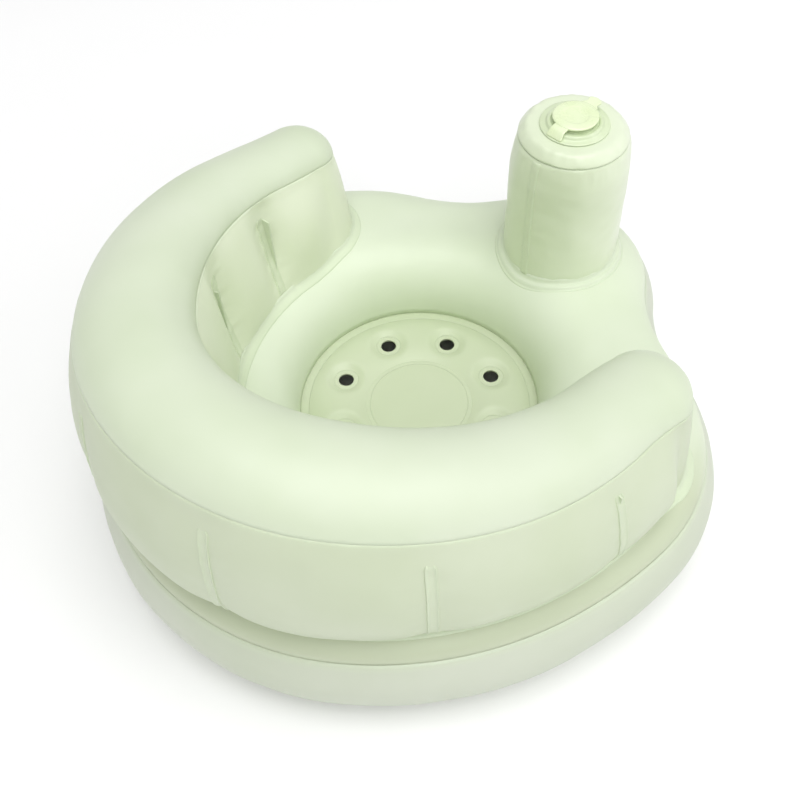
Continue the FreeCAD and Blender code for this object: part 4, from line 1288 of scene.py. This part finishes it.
def head_point(corner, ring):
    angle = 2 * math.pi * corner / POST_CORNERS
    radius, z = HEAD_PROFILE[ring]
    x, y = polar(radius, angle)
    on_slope = smooth_step(ring, 0, 2) * (1 - smooth_step(ring, 5, 8))
    z += rumpled(x, y, 0, HEAD_WAVES) * on_slope
    return at(x, POST_Y + y, z), weld_near(ring, 0.5)


piece("post_head_film", faced(stacked(POST_CORNERS, len(HEAD_PROFILE), head_point), UP),
      "pump_head", POST_FILM, ["post_top_panel"])
bored(base_top, round_bars([(0, POST_Y)], INLET_HOLE_R, INLET_LOW_Z, INLET_HIGH_Z))

# %% [markdown]
# The valve's flange is turned: its half section is drawn point by point, with its steps and softened
# corners, and spun once round.

# %% Valve flange
VALVE_STEPS = 96
FLANGE_PROFILE = ((13.0, 240.3), (28.0, 240.3), (28.3, 240.7), (28.1, 241.2), (27.4, 241.5), (24.2, 241.5),
                  (23.4, 241.8), (22.9, 242.6), (22.5, 243.6), (21.9, 244.1), (20.0, 244.1), (19.5, 243.8),
                  (19.1, 243.2), (16.2, 243.1), (15.7, 243.4), (15.2, 244.0), (13.6, 244.1), (13.0, 243.6))
piece("valve_flange", spun(FLANGE_PROFILE, VALVE_STEPS, (0, POST_Y)), "pump_head", VALVE_PLASTIC,
      ["pump_valve_flange"], thickness=0, sharp=50)

# %% [markdown]
# The cap is one moulding: a shallow dish with a rim, the plug skirt below it, a pull tab in front and a
# strap behind that bends down to the flange, where it hinges. The dish is turned. Tab and strap are
# sheets that are given their thickness and soft edges before all three are joined.

# %% Valve cap
CAP_PROFILE = ((0.0, 248.5), (9.6, 248.5), (10.4, 248.6), (11.2, 248.95), (12.0, 249.0), (17.2, 249.0),
               (18.2, 248.7), (18.6, 248.1), (18.5, 247.4), (17.9, 247.0), (12.4, 247.0), (12.4, 241.4),
               (12.0, 240.5), (11.2, 240.4), (10.9, 241.0), (10.9, 247.0), (0.0, 247.0))
TAB_START, TAB_REACH, TAB_ROOT, TAB_WAIST, TAB_TIP = 15.5, 27.5, 8.6, 5.2, 6.0
TAB_COLUMNS, TAB_ROWS, TAB_Z, TAB_LIFT = 9, 13, 248.6, 0.9
STRAP_COLUMNS, STRAP_ROWS = 7, 21
TAB_FLARE_START, TAB_FLARE_END, TAB_ROUND_START, TAB_ROUND_POWER = 0.5, 0.75, 0.72, 2.5
STRAP_HALF_ROOT, STRAP_HALF_END, STRAP_CORNER, STRAP_CORNER_START = 6.4, 7.5, 1.2, 0.85
MOULDED_EDGE, MOULDED_CORNER = 0.35, 1.0
STRAP_PATH = ((-169.0, 248.1), (-165.5, 248.2), (-163.0, 247.9), (-160.9, 247.0), (-159.4, 245.7),
              (-158.2, 244.3), (-157.3, 243.1), (-156.7, 242.2))


def along_points(points, share):
    """The place a share of the way along a chain of evenly counted points."""
    whole = share * (len(points) - 1)
    first = min(int(whole), len(points) - 2)
    rest = whole - first
    return [mix(a, b, rest) for a, b in zip(points[first], points[first + 1])]


def strap_point(column, row):
    share = row / (STRAP_ROWS - 1)
    half = mix(STRAP_HALF_ROOT, STRAP_HALF_END, smooth_step(share, 0.3, 1.0))
    half -= STRAP_CORNER * max(0.0, (share - STRAP_CORNER_START) / (1 - STRAP_CORNER_START)) ** 2
    return at((column / (STRAP_COLUMNS - 1) - 0.5) * 2 * half, *along_points(STRAP_PATH, share)), 0.0


def tab_point(column, row):
    share = row / (TAB_ROWS - 1)
    half = mix(TAB_ROOT, TAB_WAIST, smooth_step(share, 0, TAB_FLARE_START))
    half += (TAB_TIP - TAB_WAIST) * smooth_step(share, TAB_FLARE_START, TAB_FLARE_END)
    rounding = max(0.0, (share - TAB_ROUND_START) / (1 - TAB_ROUND_START))
    half *= math.sqrt(max(0.03, 1 - rounding ** TAB_ROUND_POWER))
    y = POST_Y - mix(TAB_START, TAB_REACH, share)
    return at((column / (TAB_COLUMNS - 1) - 0.5) * 2 * half, y, TAB_Z + TAB_LIFT * share ** 2), 0.0


def thickened(bm, thickness):
    """A sheet given its thickness at once, as part of a moulding."""
    bmesh.ops.solidify(bm, geom=bm.faces, thickness=thickness * MM)
    bmesh.ops.recalc_face_normals(bm, faces=bm.faces)
    edges = [edge for edge in bm.edges
             if len(edge.link_faces) == 2 and edge.calc_face_angle() > MOULDED_CORNER]
    bmesh.ops.bevel(bm, geom=edges, affect="EDGES", offset=MOULDED_EDGE * MM, segments=2, profile=0.5,
                    material=-1)
    return bm


cap_parts = [spun(CAP_PROFILE, VALVE_STEPS, (0, POST_Y)),
             thickened(faced(laid(STRAP_COLUMNS, STRAP_ROWS, strap_point), UP), 1.4),
             thickened(faced(laid(TAB_COLUMNS, TAB_ROWS, tab_point), UP), 1.5)]
piece("valve_cap", together(cap_parts), "valve_cap", CAP_PLASTIC, ["pump_valve_cap"],
      thickness=0, sharp=50)

# %% [markdown]
# The deflation valve at the nose is turned like the pump's, then laid over to point forward. Its plug
# has its own cap and a strap that hinges below the tube.

# %% Deflation valve
BODY_PROFILE = ((5.5, -263.9), (14.3, -263.9), (15.0, -263.5), (15.0, -262.9), (14.7, -262.7), (8.0, -262.7),
                (8.0, -241.0), (7.4, -240.4), (5.5, -240.4))
PLUG_PROFILE = ((0.0, -265.8), (7.9, -265.8), (8.8, -265.5), (9.0, -265.0), (8.8, -264.4), (8.2, -264.2),
                (4.9, -264.2), (4.9, -261.8), (4.4, -261.2), (0.0, -261.2))
PLUG_STRAP_HALF, PLUG_STRAP_LOW, PLUG_STRAP_STEP, PLUG_STRAP_Y = 3.0, 37.4, 1.1, -265.7
PLUG_STRAP_COLUMNS, PLUG_STRAP_ROWS = 5, 7


def forward(bm):
    """Lays a turned part over, so that its axis runs along Y at the valve's height."""
    bmesh.ops.rotate(bm, verts=bm.verts, cent=SEAT_CENTRE, matrix=Matrix.Rotation(-math.pi / 2, 3, "X"))
    bmesh.ops.translate(bm, verts=bm.verts, vec=run(0, 0, DEFLATE_Z))
    return bm


def plug_strap_point(column, row):
    x = (column / (PLUG_STRAP_COLUMNS - 1) - 0.5) * 2 * PLUG_STRAP_HALF
    return at(x, PLUG_STRAP_Y, PLUG_STRAP_LOW + row * PLUG_STRAP_STEP), 0.0


piece("deflation_valve", forward(spun(BODY_PROFILE, TURN_STEPS, (0, 0))), "seat", VALVE_PLASTIC,
      ["deflation_valve_body"], thickness=0, sharp=50)
plug_strap = thickened(faced(laid(PLUG_STRAP_COLUMNS, PLUG_STRAP_ROWS, plug_strap_point), -BACK), 1.3)
piece("deflation_plug", together([forward(spun(PLUG_PROFILE, TURN_STEPS, (0, 0))), plug_strap]),
      "deflation_plug", CAP_PLASTIC, ["deflation_valve_plug"], thickness=0, sharp=50)

# %% [markdown]
# Three CAD nodes keep their own shape, because they are plain plates and turned parts out of sight:
# the webs inside the backrest and the inlet valve under the post. They only need their finishes.

# %% Finishes of the CAD nodes that stay
KEPT = {"backrest_webs": BACK_FILM, "inlet_valve_body": VALVE_PLASTIC, "inlet_valve_flap": VALVE_PLASTIC}
for name, material in KEPT.items():
    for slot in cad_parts[name].material_slots:
        slot.material = material
print("kept", sorted(KEPT))

# %% [markdown]
# Everything that holds air or foam gives way when a child leans on it. The chambers are blown tight; the
# foam is open and softer.

# %% Soft pieces
print("padded pieces not declared")

# %% [markdown]
# The floor is a wide pale plane that the seat stands on. It belongs to the picture and not to the
# seat, so it is marked as stage.

# %% Floor
STAGE_HALF, STAGE_CLEARANCE = 6000.0, 0.3
PAPER_LIGHT, PAPER_DEEP, PAPER_ROUGHNESS = (0.93, 0.93, 0.93, 1), (0.90, 0.90, 0.90, 1), 0.85
stage_mesh = bmesh.new()
bmesh.ops.create_grid(stage_mesh, x_segments=1, y_segments=1, size=STAGE_HALF * MM)
bmesh.ops.translate(stage_mesh, verts=stage_mesh.verts, vec=run(0, 0, -STAGE_CLEARANCE))
ground = linked("studio_floor", stage_mesh)
paper = Finish("pale_paper")
paper_cloud = paper.noise(3.0, 2.0)
paper.wear(paper.mixed(PAPER_LIGHT, PAPER_DEEP, paper_cloud), PAPER_ROUGHNESS + paper_cloud * 0.05)
ground.data.materials.append(paper.material)
ground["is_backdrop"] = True
print("floor ready")

# %% Sizes against the CAD, and the end
dressed_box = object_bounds()
for name, box in (("cad", cad_box), ("dressed", dressed_box)):
    print(name, "box", [[round(v, 4) for v in corner] for corner in box])
